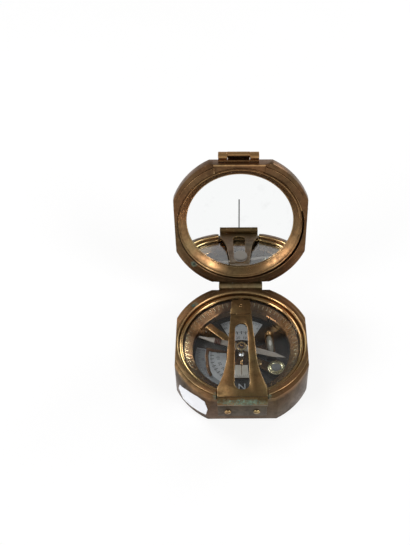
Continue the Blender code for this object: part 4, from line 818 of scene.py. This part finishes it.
class TRANSIT_OT_case(bpy.types.Operator):
    """Turn, cut and round the case shell"""

    bl_idname = "transit.case"
    bl_label = "Case"

    def execute(self, context):
        steps, small, edge = sizes().round_steps, sizes().small_steps, sizes().edge / MM
        over, foot, ease = CASE_TOP + 2, CASE_TOP - RIM_STEP, 1.2
        case = flat_sided("case_shell", 0, CASE_TOP, CORNER_DRAFT)
        round_edges(case, at_height(0), 0.6, 3)
        mouth = arc(ease, 180, 90, 6, (BORE + ease, CASE_TOP - ease))
        cavity = turned("cavity", [
            (0.5, FLOOR), (FLOOR_BORE, FLOOR), (FLOOR_BORE, RING_LEDGE), (DIAL_BORE, RING_LEDGE),
            (DIAL_BORE, GLASS_LEDGE), (BORE, GLASS_LEDGE), *mouth, (BORE + ease, over), (0.5, over)], steps)
        crown = arc(edge, 0, 90, 4, (RIM_RADIUS - edge, CASE_TOP - edge))
        lands = turned("lands", [
            (OUTSIDE, foot), (RIM_RADIUS, foot), *crown, (RIM_RADIUS - edge, over), (OUTSIDE, over)],
            steps, ring=True)
        cut(case, cavity, lands)
        notch = block("notch", (-NOTCH_HALF, -OUTSIDE, NOTCH_FLOOR), (NOTCH_HALF, -NOTCH_INNER, over))
        recess = rod("recess", 17, -1, 3.2, steps // 2)
        shaft = rod("shaft", 3.2, -1, FLOOR + 1, small)
        pin = rod("pin", 1.25, 8.3, over, small, at(*polar(LIFT_PLACE, LIFT_AZIMUTH)))
        head = along_x(rod("head", 2.85, -1.55, 1, small), (HALF_WIDTH, 0, 8.4))
        cut(case, notch, recess, shaft, pin, head)
        round_edges(case, at_rim_flats(CASE_TOP), edge, 3)
        round_edges(case, at_lands(foot), 0.25, 2)
        wear_faces(case, lambda face: face.center.z > (foot - 0.3) * MM and 0.15 < face.normal.z < 0.97)
        seat(smooth(case, 28), "case", "aged_brass", "case_brass", "case_body")
        return {"FINISHED"}


class TRANSIT_OT_lid(bpy.types.Operator):
    """Turn, cut and round the lid shell"""

    bl_idname = "transit.lid"
    bl_label = "Lid"

    lip = 0.9 - HALF_LENGTH
    left, right = -14.8, 13.2
    slant = 0.9
    deep = LID_RIM + 1.2

    def in_pocket(self, face):
        """The lip of the pocket at the free edge, and the pocket's slanted wall: faces that take the bright
        worn finish as a painted highlight.
        """
        place = face.center / MM
        if place.z > self.deep or place.y > 8 - HALF_LENGTH:
            return False
        wall = self.left < place.x < self.left + self.slant and 0.3 < face.normal.x < 0.95
        return wall or (place.y < self.lip and self.left < place.x < self.right and face.normal.z < -0.5)

    def cut_pocket(self, lid):
        """Sink the pocket, raise its lip and scribe the lines round it."""
        left, right, lip, deep = self.left, self.right, self.lip, self.deep
        low, line, floor, under = LID_RIM - 0.02, 0.25, deep - 0.2, deep + 0.4
        pocket = block("pocket", (left, lip, low), (right, -NOTCH_INNER, deep))
        choose(pocket)
        mode("EDIT")
        pick("FACE", lambda face: face.normal.z > 0.9)
        share = 1 - self.slant / (right - left)
        bpy.ops.transform.resize(value=(share, 1, 1), center_override=(right * MM, 0, 0))
        mode("OBJECT")
        combine(lid, "UNION", block("bar", (left, 0.05 - HALF_LENGTH, LID_RIM), (right, lip, deep + 0.1)))
        cut(
            lid, pocket,
            block("line", (left + self.slant, lip, floor), (right, lip + line, under)),
            block("line", (right - line, lip, floor), (right, -NOTCH_INNER, under)),
            block("line", (left - line, lip, low), (left - 0.05, -NOTCH_INNER, LID_RIM + 0.35)),
        )
        choose(lid)
        mode("EDIT")
        for x in (left, right):
            slice_at((x * MM, 0, 0), (1, 0, 0))
        mode("OBJECT")

    def execute(self, context):
        steps, edge = sizes().round_steps, sizes().edge / MM
        under, top, inside = LID_RIM - 2, LID_RIM + RIM_STEP, LID_BACK - 1
        lid = flat_sided("lid_cover", LID_RIM, LID_BACK, 0)
        round_edges(lid, at_height(LID_BACK), 2.6, 6)
        mouth = arc(edge, 180, 270, 4, (BORE + edge, LID_RIM + edge))
        cavity = turned("cavity", [
            (0.5, under), (BORE + edge, under), *reversed(mouth), (BORE, inside), (0.5, inside)], steps)
        crown = arc(edge, -90, 0, 4, (RIM_RADIUS - edge, LID_RIM + edge))
        lands = turned("lands", [
            (OUTSIDE, under), (RIM_RADIUS - edge, under), *crown, (RIM_RADIUS, top), (OUTSIDE, top)],
            steps, ring=True)
        cut(lid, cavity, lands)
        window = rod("window", WINDOW_RADIUS, LID_BACK - 2, LID_BACK + 1, 48, at(0, WINDOW_Y))
        dimple = rod("dimple", 0.9, under, LID_RIM + 1, 24, at(*LID_STUD))
        cut(lid, window, dimple)
        round_edges(lid, at_rim_flats(LID_RIM), edge, 3)
        round_edges(lid, at_lands(top), 0.25, 2)
        self.cut_pocket(lid)
        # The pocket's lip and slanted wall take the bright worn finish as a painted highlight.
        wear_faces(lid, self.in_pocket)
        seat(smooth(lid, 28), "lid", "aged_brass", "lid_brass", "lid_shell")
        crown = cap(0.8, LID_RIM + 0.6, -0.5)
        stud = turned("lid_stud", [(0.8, LID_RIM + 1.05), *crown], 24, place=at(*LID_STUD))
        seat(smooth(stud, 50), "lid", "bright_brass", "verdigris")
        return {"FINISHED"}


class TRANSIT_OT_rings(bpy.types.Operator):
    """Turn the bezel over the glass, the ring round the mirror and both glasses"""

    bl_idname = "transit.rings"
    bl_label = "Rings and Glasses"

    aside = (-0.38, -0.06)

    def execute(self, context):
        steps = sizes().round_steps
        low, high, inner, lip = 19.1, 20.6, 33.5, 1.25
        rounded = arc(lip, 180, 80, 10, (inner + lip, high - lip))
        bezel = turned("bezel", [
            (35.75, high - 0.4), (35.75, low), (inner, low), *rounded, (35.4, high - 0.15)], steps, ring=True)
        seat(smooth(bezel, 40), "case", "bright_brass", "polished_brass", "bezel_ring")
        pane = [(35.5, 17.55), (35.75, 17.75), (35.75, 18.75), (35.5, 18.95)]
        crystal = turned("crystal_pane", pane, steps)
        seat(smooth(crystal), "case", "clear_glass", "crystal", "crystal_glass")
        self.frame_mirror(steps, MIRROR_FACE - 0.15, LID_RIM + 1.8)
        self.silver_mirror(steps, MIRROR_FACE + 1.4)
        return {"FINISHED"}

    def frame_mirror(self, steps, back, face):
        """The mirror's ring, a little off the middle, with its packing, its lip and its near black seat,
        which is painted shade in the gap beside the ring.
        """
        inner, brow, outer, bulge = 30.7, 34.0, 35.58, 0.25
        fall = back - 0.4 - face
        slope = [(brow + (inner - brow) * t, face + fall * t - bulge * 4 * t * (1 - t))
                 for t in [i / 8 for i in range(1, 9)]]
        cove = [(radius, face - deep) for radius, deep in (
            (outer, 0.3), (35.35, 0.5), (35.1, 0.42), (34.9, 0.1), (34.7, 0.02), (34.5, 0.12), (34.25, 0.12))]
        ring = turned("mirror_frame", [(outer, back), *cove, (brow, face), *slope, (inner, back)],
                      steps, ring=True, place=at(*self.aside))
        seat(smooth(ring, 40), "lid", "bright_brass", "frame_brass", "mirror_ring")
        packing = turned("mirror_packing", [
            (35.0, back), (35.98, back), (35.98, face + 0.1), (35.0, face + 0.1)], steps, ring=True)
        cut(packing, drawn("opening", [(0, 0)] + arc(50, -15, 68, 4), face - 2, back + 2))
        seat(smooth(packing), "lid", "bright_brass", "frame_brass")
        lip = turned("mirror_lip", arc(0.26, 0, 330, 11, (inner + 0.1, back - 0.5)),
                     steps, ring=True, place=at(*self.aside))
        seat(smooth(lip, 50), "lid", "bright_brass", "arm_brass_worn")
        # The seat is near black: painted shade where the gap beside the ring shows.
        near, far, low, high = 34.2, 35.74, MIRROR_FACE - 0.13, MIRROR_FACE - 0.03
        floor = turned("mirror_seat", [(near, low), (far, low), (far, high), (near, high)], steps, ring=True)
        seat(floor, "lid", "aged_brass", "dark_brass_deep")

    def silver_mirror(self, steps, back):
        """The mirror, its clear window and the line to sight along."""
        mirror = turned("mirror_plate", [(35.5, MIRROR_FACE), (35.7, MIRROR_FACE + 0.2), (35.7, back)], steps)
        cut(mirror, rod("hole", WINDOW_RADIUS, MIRROR_FACE - 1, back + 1, 48, at(0, WINDOW_Y)))
        seat(smooth(mirror), "lid", "silvered_mirror", "silvering", "mirror_glass")
        # The window pane's dark grey tint is painted shadow seen through it.
        window = rod("window_pane", WINDOW_RADIUS - 0.02, MIRROR_FACE + 0.02, back, 48, at(0, WINDOW_Y))
        seat(smooth(window), "lid", "clear_glass", "window_glass")
        half, x = 0.33, -0.9
        line = block("sight_line", (x - half, -14.8, MIRROR_FACE - 0.03), (x + half, 4.0, MIRROR_FACE + 0.05))
        seat(line, "lid", "black_enamel", "ink")


def knuckle(name, radius, width, place):
    """A hinge barrel along X, its ends eased."""
    ease, half = 0.15, width / 2
    profile = [(radius - ease, -half), (radius, ease - half), (radius, half - ease), (radius - ease, half)]
    return along_x(turned(name, profile, sizes().small_steps), place)


def add_barrels(leaf, x, half, low, high, radius, width, y, z):
    """Add a web from a low to a high (y, z) corner and a barrel at each of two places."""
    for middle in x:
        web = block("web", (middle - half, *low), (middle + half, *high))
        combine(leaf, "UNION", web, knuckle("barrel", radius, width, (middle, y, z)))


class TRANSIT_OT_sight_arm(bpy.types.Operator):
    """Cut the sight arm and its peep sight from sheet and roll their knuckles"""

    bl_idname = "transit.sight_arm"
    bl_label = "Sight Arm"

    low, high = 20.86, 22.06
    middle = (low + high) / 2
    flare_y = -10.0
    peep_y = 19.0
    shoulder = 30.4
    tip_width = 11.0
    roll = 0.75
    reach = 0.95
    hole_y = 26.0

    def half_width(self, y):
        width = self.tip_width + (self.shoulder - y) * 0.137
        flare = self.flare_y - y
        if flare > 0:
            width += 7.0 * (flare / 20.5) ** 2
        return min(width, 27.0) / 2

    def execute(self, context):
        base, stop = -HALF_LENGTH + 0.25, self.peep_y - self.reach
        flare = [base + (self.flare_y - base) * i / 20 for i in range(21)]
        inner, outer = 2.95, self.half_width(self.peep_y) - 0.25
        right = [(8.5, FRONT_AXIS[1]), (8.5, base + 0.25)] + [(self.half_width(y), y) for y in flare]
        right += [(outer, self.peep_y), (inner, self.peep_y - 0.06), (inner, stop)]
        arm = drawn("sight_arm_bar", both_sides(right), self.low, self.high)
        slot = arc(3.6, 0, 180, 14, (0, 9.2)) + arc(4.3, 180, 360, 14, (0, -28.7))
        cut(arm, drawn("slot", slot, self.low - 1, self.high + 1))
        soften(arm)
        barrels = [knuckle("barrel", 2.5, 17.3, FRONT_AXIS)]
        for side in (-1, 1):
            place = (side * (inner + outer) / 2, self.peep_y, self.middle)
            barrels.append(knuckle("ear", self.roll, outer - inner, place))
        combine(arm, "UNION", *barrels)
        seat(smooth(arm), "sight_arm", "aged_brass", "arm_brass", "sight_arm")
        self.cut_peep(self.peep_y + self.reach, self.tip_width / 2)
        return {"FINISHED"}

    def cut_peep(self, edge, half):
        tongue, corner, peak, point = 2.7, 1.2, 1.9, 2.7
        right = [(tongue, self.peep_y), (tongue, edge), (self.half_width(edge), edge)]
        right += arc(corner, 0, 90, 6, (half - corner, self.shoulder - corner))
        right += [(peak * (1 - i / 8), self.shoulder + point * (i / 8) ** 1.6) for i in range(9)]
        peep = drawn("peep_leaf", both_sides(right), self.low, self.high)
        cut(peep, rod("hole", 0.6, self.low - 1, self.high + 1, 24, at(0, self.hole_y)))
        soften(peep)
        combine(peep, "UNION", knuckle("roll", self.roll, 5.88, (0, self.peep_y, self.middle)))
        seat(smooth(peep), "peep_sight", "aged_brass", "arm_brass", "peep_sight")
        bead = cap(0.2, self.high, 0.2, angles(0, 360, 40), 0.68)
        eyelet = turned("peep_eyelet", bead, 28, ring=True, place=at(0, self.hole_y))
        seat(smooth(eyelet, 60), "peep_sight", "bright_brass", "polished_brass")


class TRANSIT_OT_hinges(bpy.types.Operator):
    """Fold the leaves of both case hinges, roll their knuckles and set their screws"""

    bl_idname = "transit.hinges"
    bl_label = "Hinges and Screws"

    near, far = HALF_LENGTH + 0.15, HALF_LENGTH + 0.95
    screws = (
        (1.9, [("front_screw_1", -8, 9.2, -1, 35), ("front_screw_2", 8, 9.2, -1, -20),
               ("rear_case_screw_1", -7.5, 16.4, 1, 10), ("rear_case_screw_2", 7.5, 16.4, 1, 65)]),
        (1.2, [("rear_lid_screw_1", -7.5, 26.5, 1, 80), ("rear_lid_screw_2", 7.5, 26.5, 1, 15)]),
    )

    def execute(self, context):
        near, far = self.near, self.far
        front = soften(block("front_leaf", (-13.5, -far, 5.0), (13.5, -near, NOTCH_FLOOR)))
        y, z = FRONT_AXIS[1:]
        add_barrels(front, (-11.07, 11.07), 2.375, (-far, 19.6), (-near, z), 2.5, 4.80, y, z)
        seat(smooth(front), "case", "aged_brass", "hinge_brass", "front_hinge_leaf")

        rear = LID_AXIS.y / MM
        leaf = soften(block("rear_case_leaf", (-13, near, 13.5), (13, far, 20.05)))
        web = block("web", (-4.8, near, 19.0), (4.8, far, CASE_TOP))
        fin = block("fin", (-13, HALF_LENGTH + 0.03, 19.0), (13, HALF_LENGTH + 0.17, 22.3))
        combine(leaf, "UNION", web, fin, knuckle("barrel", 2.2, 9.9, (0, rear, CASE_TOP)))
        seat(smooth(leaf), "case", "aged_brass", "rear_hinge_brass", "rear_hinge_case_leaf")

        leaf = soften(block("rear_lid_leaf", (-13, near, 24.95), (13, far, 28.05)))
        add_barrels(leaf, (-8.98, 8.98), 3.97, (near, CASE_TOP), (far, 26.0), 2.2, 8.04, rear, CASE_TOP)
        seat(smooth(leaf), "lid", "aged_brass", "rear_hinge_brass", "rear_hinge_lid_leaf")
        self.set_screws(far + 0.15)
        return {"FINISHED"}

    def set_screws(self, head):
        """Each screw is one slotted dome, copied, turned to face out and seated on its leaf."""
        for size, places in self.screws:
            crown = cap(size, 0, 0.6, WIDE_CAP)
            dome = turned("dome", [(0.8, -0.8), (0.8, 0), (size * 0.97, 0), *crown], sizes().small_steps)
            reach, width = size * 1.2, size * 0.13
            cut(dome, block("slot", (-reach, -width, 0.22), (reach, width, 1)))
            for name, x, z, facing, turn in places:
                screw = copy_of(dome, at(x, facing * head, z) @ spin(-90 * facing, "X") @ spin(turn))
                screw.name = name + "_head"
                body = "lid" if "lid" in name else "case"
                seat(smooth(screw), body, "bright_brass", "screw_brass", name)
            bpy.data.objects.remove(dome, do_unlink=True)


class TRANSIT_OT_lid_sight(bpy.types.Operator):
    """Fold the small sight on the lid's free edge"""

    bl_idname = "transit.lid_sight"
    bl_label = "Lid Sight"

    x, y, z = -1.2, -40.91, 28.4

    def execute(self, context):
        x, y, z = self.x, self.y, self.z
        near, far, low = -HALF_LENGTH - 0.15, -HALF_LENGTH - 0.95, 26.05
        leaf = block("lid_sight_base", (x - 11, far, low), (x + 11, near, 26.43))
        add_barrels(leaf, (x - 8.57, x + 8.57), 2.375, (far, low), (near, z), 2.2, 4.87, y, z)
        seat(smooth(leaf), "lid", "aged_brass", "lid_hinge_brass", "lid_sight_leaf")
        blade = self.cut_blade(x, y, z, 31.05, 0.8)
        roll = knuckle("barrel", 1.25, 12.24, (x, y - 0.92, z + 0.1))
        web = block("web", (x - 6.1, y - 1.6, z + 0.5), (x + 6.1, y - 0.3, z + 1.9))
        vane = join("lid_sight_blade", [combine(roll, "UNION", web), blade])
        seat(smooth(vane), "lid_sight", "aged_brass", "lid_hinge_brass", "lid_sight_vane")
        return {"FINISHED"}

    def cut_blade(self, x, y, z, rest, thick):
        """The bent sheet, tapered and slotted: drawn from the side, then stood up."""
        bend, end = y + 5, y + 17
        lower = [(y, z + 1.34), (bend, rest), (end, rest)]
        blade = drawn("lid_sight_blade", lower + [(a, b + thick) for a, b in reversed(lower)], -6, 6)
        move(blade, Matrix(((0, 0, 1, x * MM), (1, 0, 0, 0), (0, 1, 0, 0), (0, 0, 0, 1))))
        for side in (-1, 1):
            corners = ((7, bend), (6, bend), (3.5, end + 1), (7, end + 1))
            wedge = [(x + side * across, along) for across, along in corners]
            cut(blade, drawn("wedge", wedge[::side], rest - 1, rest + 2))
        slot = arc(1, 180, 360, 12, (x, y + 7)) + arc(1, 0, 180, 12, (x, y + 15))
        cut(blade, drawn("slot", slot, rest - 1, rest + 2))
        return soften(blade, segments=1)


def marks(name, radius, lengths, start, stop, count, height, bold=1.0):
    """Engraved marks on an arc: thin bars that end at a radius, the long ones in turn."""
    half = sizes().mark_width / MM * bold / 2
    pieces = []
    for i in range(count):
        start_at = radius - lengths[i % len(lengths)]
        bar = block("mark", (start_at, -half, height), (radius, half, height + 0.03))
        pieces.append(move(bar, spin(start + (stop - start) * i / (count - 1))))
    return join(name, pieces)


def numeral(text, size, place, turn, height):
    """A number as a thin mesh lying at a height, its foot turned towards a bearing."""
    begin()
    bpy.ops.object.text_add(location=(0, 0, 0))
    words = bpy.context.object.data
    words.body = text
    words.size = size * MM
    words.align_x = words.align_y = "CENTER"
    words.resolution_u = 2
    words.extrude = 0.012 * MM
    bpy.ops.object.convert(target="MESH")
    return move(bpy.context.object, at(*place, height) @ spin(turn))


class TRANSIT_OT_dial(bpy.types.Operator):
    """Engrave the ring, the scales and the dial"""

    bl_idname = "transit.dial"
    bl_label = "Dial Marks"

    foot, rim, top = (28.4, 14.4), 33.05, 17.1
    plate = 6.36
    scales = ((203.0, 74.0), (89.0, 56.0))
    inner_plate = [(-18.9, 4.4), (-8.8, 3.2), (-8.8, -12.6), (-14.5, -15.4), (-17.6, -12.0)]
    band = [
        (-20.6, 6.0), (-21.2, 0.0), (-20.8, -6.0), (-19.6, -11.5), (-18.3, -14.5), (-16.8, -13.2),
        (-17.9, -10.5), (-18.9, -5.5), (-19.3, 0.0), (-18.9, 3.6), (-14.0, 2.6), (-7.5, 1.9), (-7.5, 3.6),
        (-14.0, 4.6),
    ]
    lever = [
        (-2.0, 12.4), (24.4, 12.4), (24.4, 8.0), (39.5, 8.0), (39.5, 8.8), (26.8, 8.8), (26.8, 13.2),
        (-2.0, 13.2),
    ]

    def lay(self, piece, azimuth):
        """Lay a flat piece on the ring's slope, with x running up it."""
        rise, run = self.top - self.foot[1], self.rim - 0.3 - self.foot[0]
        slope = spin(-math.degrees(math.atan2(rise, run)), "Y")
        return move(piece, spin(azimuth) @ at(self.foot[0], 0, self.foot[1]) @ slope)

    def execute(self, context):
        self.engrave_ring(sizes().ring_marks, sizes().mark_width / MM / 2)
        self.engrave_scales(self.plate)
        low, high = self.plate - 0.05, self.plate - 0.005
        # The outer part of the left scale is overlaid in darker grey: a painted shadow.
        shade = arc(27.0, 166.5, 239.5, 18) + arc(21.4, 239.5, 166.5, 18)
        seat(drawn("outer_scale", shade, low, high), "case", "white_enamel", "scale_grey")
        seat(drawn("inner_scale", self.inner_plate, low, high), "case", "white_enamel", "scale_white")
        band = drawn("scale_band", self.band, self.plate, self.plate + 0.45)
        seat(soften(band), "case", "aged_brass", "dark_brass")
        letter = numeral("N", 6.2, (0.1, -21.4), 0, 5.87)
        seat(join("dial_letter", [letter]), "case", "white_enamel", "pale_ink")
        self.lay_vernier(7.76, 7.95)
        self.bend_lever()
        return {"FINISHED"}

    def engrave_ring(self, count, half):
        """The ring's sloping face, its marks and its bearings."""
        foot, rim, top = self.foot, self.rim, self.top
        cone = turned("ring_cone", [
            foot, (rim, foot[1]), (rim, top - 0.15), (rim - 0.15, top), (rim - 0.3, top)],
            sizes().round_steps, ring=True)
        seat(smooth(cone, 30), "ring", "bright_brass", "ring_brass")
        bars = []
        for i in range(count):
            start, wide = (3.6, half) if i % 2 else (2.4, half * 3)
            bars.append(self.lay(block("mark", (start, -wide, 0), (5.0, wide, 0.03)), 360 * i / count))
        seat(join("ring_marks", bars), "ring", "bright_brass", "eye_silver")
        numbers = []
        for bearing in range(0, 360, 30):
            numbers.append(self.lay(numeral(str(bearing), 1.5, (1.4, 0), -90, 0.015), 90 - bearing))
        seat(join("ring_numbers", numbers), "ring", "black_enamel", "dark_brass")

    def engrave_scales(self, plate):
        """Marks and plain numbers on the two white scales."""
        marked = []
        for azimuth, span in self.scales:
            first, last = azimuth - span / 2 + 3, azimuth + span / 2 - 3
            bold = int((last - first) / 8)
            for name, radius, lengths, count, width in (
                ("outer", 26.6, [2.4, 1.5], bold * 4 + 1, 1.6), ("inner", 18.5, [2.3], bold + 1, 3.4),
                ("fine", 18.5, [1.3], bold * 4 + 1, 1.2),
            ):
                marked.append(marks(name, radius, lengths, first, last, count, plate, width))
            for i in range(bold // 2 + 1):
                turn = first + (last - first) * i * 2 / bold
                for number, size, radius in ((i * 10, 2.6, 13.6), (i * 20, 2.2, 22.6)):
                    marked.append(numeral(str(number), size, polar(radius, turn), turn - 90, plate + 0.015))
        seat(join("scale_marks", marked), "case", "black_enamel", "ink")

    def bend_lever(self):
        """The needle's lift lever: a long forked bar with a low tail, its edges rubbed bright."""
        lever = drawn("lift_bar", self.lever, -2, 2)
        fork = block("fork", (-5, 11, -1.2), (3, 15, 1.2))
        cut(lever, fork, rod("hole", 0.72, -4, 4, 24, at(25.6, 10.6)))
        soften(lever, 0.22)
        move(lever, spin(LIFT_AZIMUTH) @ spin(90, "X"))
        seat(lever, "lift_lever", "bright_brass", "arm_brass", "lift_lever")

    def lay_vernier(self, low, high):
        """The silvered plate on the clinometer's arm, its marks, its index post and the screw beside it."""
        plate = drawn("vernier_plate", [(-3.6, -7.4), (-4.3, -16.2), (4.3, -16.2), (3.6, -7.4)], low, high)
        seat(soften(plate, 0.06), "clinometer", "silvered_brass", "pale_silver")
        lines = marks("vernier_marks", 16.1, [1.9, 1.1], -103, -77, 13, high)
        seat(lines, "clinometer", "black_enamel", "ink")
        index = block("vernier_index", (-0.16, -14.0, high), (0.16, -7.6, high + 0.05))
        seat(index, "clinometer", "bright_brass", "polished_brass")
        lie = at(0.1, -6.2, low + 0.85) @ spin(90, "X")
        post = turned("index_post", [(0.8, -1.6), *cap(0.8, 1.2, 0.8)], 24, place=lie)
        seat(smooth(post, 50), "clinometer", "bright_brass", "polished_brass")
        head = turned("arm_screw", [(1.9, low), (1.9, low + 0.5), (1.6, low + 0.7)], 32)
        cut(head, block("slot", (-3, -0.25, low + 0.35), (3, 0.25, low + 1)))
        move(head, at(*polar(11.6, LEVEL_AZIMUTH)) @ spin(40))
        seat(smooth(head), "clinometer", "bright_brass", "screw_brass")


class TRANSIT_OT_needle(bpy.types.Operator):
    """Grind the needle, turn its hub and wind its counterweight"""

    bl_idname = "transit.needle"
    bl_label = "Needle"

    turn = spin(-17.0)
    low, high = 15.3, 15.8
    side = [(19, 1.7), (0, 2.1), (-12, 1.7), (-17.5, 1.65), (-26, 0.3)]

    def execute(self, context):
        small, bore, collar = sizes().small_steps, 1.85, self.high + 0.15
        outline = [(26.4, 0)] + self.side + [(x, -y) for x, y in reversed(self.side)]
        blade = drawn("needle_bar", outline, self.low, self.high)
        cut(blade, rod("hole", bore, self.low - 1, self.high + 1, small))
        soften(blade, 0.14, 2, 40)
        seat(move(blade, self.turn), "needle", "silvered_brass", "needle_grey", "needle_blade")
        crown = arc(0.3, 0, 90, 4, (2.8, collar + 0.5))
        ring = turned("needle_collar", [
            (bore, collar), (3.1, collar), *crown, (2.3, collar + 0.8), (2.05, collar + 0.55),
            (bore, collar + 0.55)], small, ring=True)
        seat(smooth(ring, 40), "needle", "bright_brass", "eye_silver", "needle_cap")
        dot = turned("needle_boss", [(1.62, 16.905), (1.62, 16.96), (0.9, 17.0)], 32)
        seat(smooth(dot), "needle", "black_enamel", "blued")
        tip = turned("needle_tip", cap(0.6, 17.0, 0.4), 24)
        seat(smooth(tip, 50), "needle", "bright_brass", "polished_brass")
        self.wind(context, 20, 4)
        return {"FINISHED"}

    def wind(self, context, points, loops):
        """Wind the wire round the needle's tail, one mm to each turn."""
        begin()
        bpy.ops.curve.primitive_nurbs_path_add(location=(0, 0, 0))
        wire = context.object.data
        wire.splines.clear()
        spline = wire.splines.new("POLY")
        spline.points.add(points * loops)
        for i, point in enumerate(spline.points):
            turn = 2 * math.pi * i / points
            point.co = (
                (i / points - 16) * MM, 1.98 * MM * math.cos(turn), (15.55 + math.sin(turn)) * MM, 1)
        wire.bevel_depth = 0.25 * MM
        wire.bevel_resolution = 3
        wire.use_fill_caps = True
        bpy.ops.object.convert(target="MESH")
        winding = context.object
        winding.name = "needle_winding"
        move(winding, self.turn)
        seat(smooth(winding, 60), "needle", "copper_wire", "copper", "needle_counterweight")


class TRANSIT_OT_levels(bpy.types.Operator):
    """Blow the two level glasses and spin the bull's-eye cup"""

    bl_idname = "transit.levels"
    bl_label = "Levels"

    def execute(self, context):
        steps = sizes().small_steps
        lie = at(16.9, 5.3, LEVEL_SEAT + 2.45) @ spin(4) @ spin(-90, "X")
        ends = cap(1.9, 1.4, 5.6, VIAL_CAP)
        vial = turned("level_tube", [(r, -z) for r, z in reversed(ends)] + ends, steps, place=lie)
        seat(smooth(vial, 50), "clinometer", "clear_glass", "spirit", "tube_level_vial")
        drop = turned("level_bubble", cap(1.2, 0, 3.0, angles(-80, 81, 20)), 24, place=at(0, 0, 0.98) @ lie)
        seat(smooth(drop, 50), "clinometer", "clear_glass", "bubble")
        end = turned("level_end", [(1.95, 6.2), (1.95, 8.2), (1.5, 8.7)], steps, place=lie)
        seat(smooth(end, 40), "clinometer", "bright_brass", "screw_brass")
        self.spin_eye(steps, LEVEL_SEAT + 3.0, 3.2, 5.0, at(*polar(22.85, LEVEL_AZIMUTH)))
        return {"FINISHED"}

    def spin_eye(self, steps, top, inner, outer, eye):
        """The bull's-eye: its cup, the bead round it and its glass."""
        rim = arc(0.45, 0, 90, 5, (outer - 0.45, top - 0.45))
        cup = turned("eye_cup", [
            (outer, LEVEL_SEAT), *rim, (inner + 0.15, top), (inner, top - 0.15), (inner, LEVEL_SEAT + 0.6)],
            steps, place=eye)
        seat(smooth(cup, 40), "clinometer", "bright_brass", "eye_silver", "bulls_eye_cup")
        round_bead = cap(0.75, top + 0.05, 0.6, angles(0, 360, 30), 3.4)
        bead = turned("eye_bead", round_bead, steps, ring=True, place=eye)
        seat(smooth(bead, 50), "clinometer", "bright_brass", "eye_silver")
        lens = inner - 0.15
        crown = cap(lens, top - 0.15, 1.0, WIDE_CAP)
        pane = turned("eye_glass", [(lens, LEVEL_SEAT + 0.75), *crown], steps, place=eye)
        seat(smooth(pane, 50), "clinometer", "clear_glass", "eye_grey", "bulls_eye_vial")


class TRANSIT_OT_label(bpy.types.Operator):
    """Paste a blank paper label on the left front of the case"""

    bl_idname = "transit.label"
    bl_label = "Label"

    azimuth = math.radians(-132)
    outline = [(-12.0, 6.8), (-7.4, 2.2), (2.0, 3.2), (10.2, 4.0), (11.3, 10.2), (9.3, 16.4), (4.5, 17.2),
               (-3.0, 15.4), (-10.7, 11.9)]

    def execute(self, context):
        paper = drawn("paper_label", self.outline, 0)
        mode("EDIT")
        for step in range(-23, 24):
            slice_at((step * 0.5 * MM, 0, 0), (1, 0, 0))
        mode("OBJECT")
        out = Vector((math.cos(self.azimuth), math.sin(self.azimuth), 0))
        along = Vector((-out.y, out.x, 0))
        stand = Matrix((along, Vector((0, 0, 1)), out)).transposed().to_4x4()
        paper.matrix_world = Matrix.Translation(out * 46 * MM + Vector((0, AXIS_Y, 0))) @ stand
        apply_modifier(
            paper, "SHRINKWRAP", target=bpy.data.objects["case_shell"], wrap_method="PROJECT",
            use_project_z=True, use_negative_direction=True, use_positive_direction=False, offset=0.09 * MM,
        )
        apply_modifier(paper, "SOLIDIFY", thickness=0.12 * MM, offset=0)
        apply_place()
        move(paper, Matrix.Translation((0, -AXIS_Y, 0)))
        seat(smooth(paper), "case", "white_enamel", "paper")
        return {"FINISHED"}


class TRANSIT_PT_panel(bpy.types.Panel):
    """Sizes, colours and steps of the pocket transit"""

    bl_idname = "TRANSIT_PT_panel"
    bl_label = "Pocket Transit"
    bl_space_type = "VIEW_3D"
    bl_region_type = "UI"
    bl_category = "Transit"

    def draw(self, context):
        for key in GROUPS:
            group = getattr(context.scene, key)
            column = self.layout.column()
            for entry in group.bl_rna.properties.keys():
                if entry not in ("rna_type", "name"):
                    column.prop(group, entry)
        for step in STEPS:
            self.layout.operator(step.bl_idname)


GROUPS = {"transit_sizes": TransitSizes, "transit_colours": TransitColours, "transit_stage": TransitStage}
STEPS = (
    TRANSIT_OT_finishes, TRANSIT_OT_stage, TRANSIT_OT_case, TRANSIT_OT_lid, TRANSIT_OT_rings,
    TRANSIT_OT_sight_arm, TRANSIT_OT_hinges, TRANSIT_OT_lid_sight, TRANSIT_OT_dial, TRANSIT_OT_needle,
    TRANSIT_OT_levels, TRANSIT_OT_label,
)
CLASSES = (*GROUPS.values(), *STEPS, TRANSIT_PT_panel)


def register():
    for entry in CLASSES:
        bpy.utils.register_class(entry)
    for key, group in GROUPS.items():
        setattr(bpy.types.Scene, key, PointerProperty(type=group))


def unregister():
    for key in GROUPS:
        delattr(bpy.types.Scene, key)
    for entry in reversed(CLASSES):
        bpy.utils.unregister_class(entry)


def main():
    register()
    for step in STEPS:
        family, name = step.bl_idname.split(".")
        getattr(getattr(bpy.ops, family), name)()
    begin()


if __name__ == "__main__":
    main()
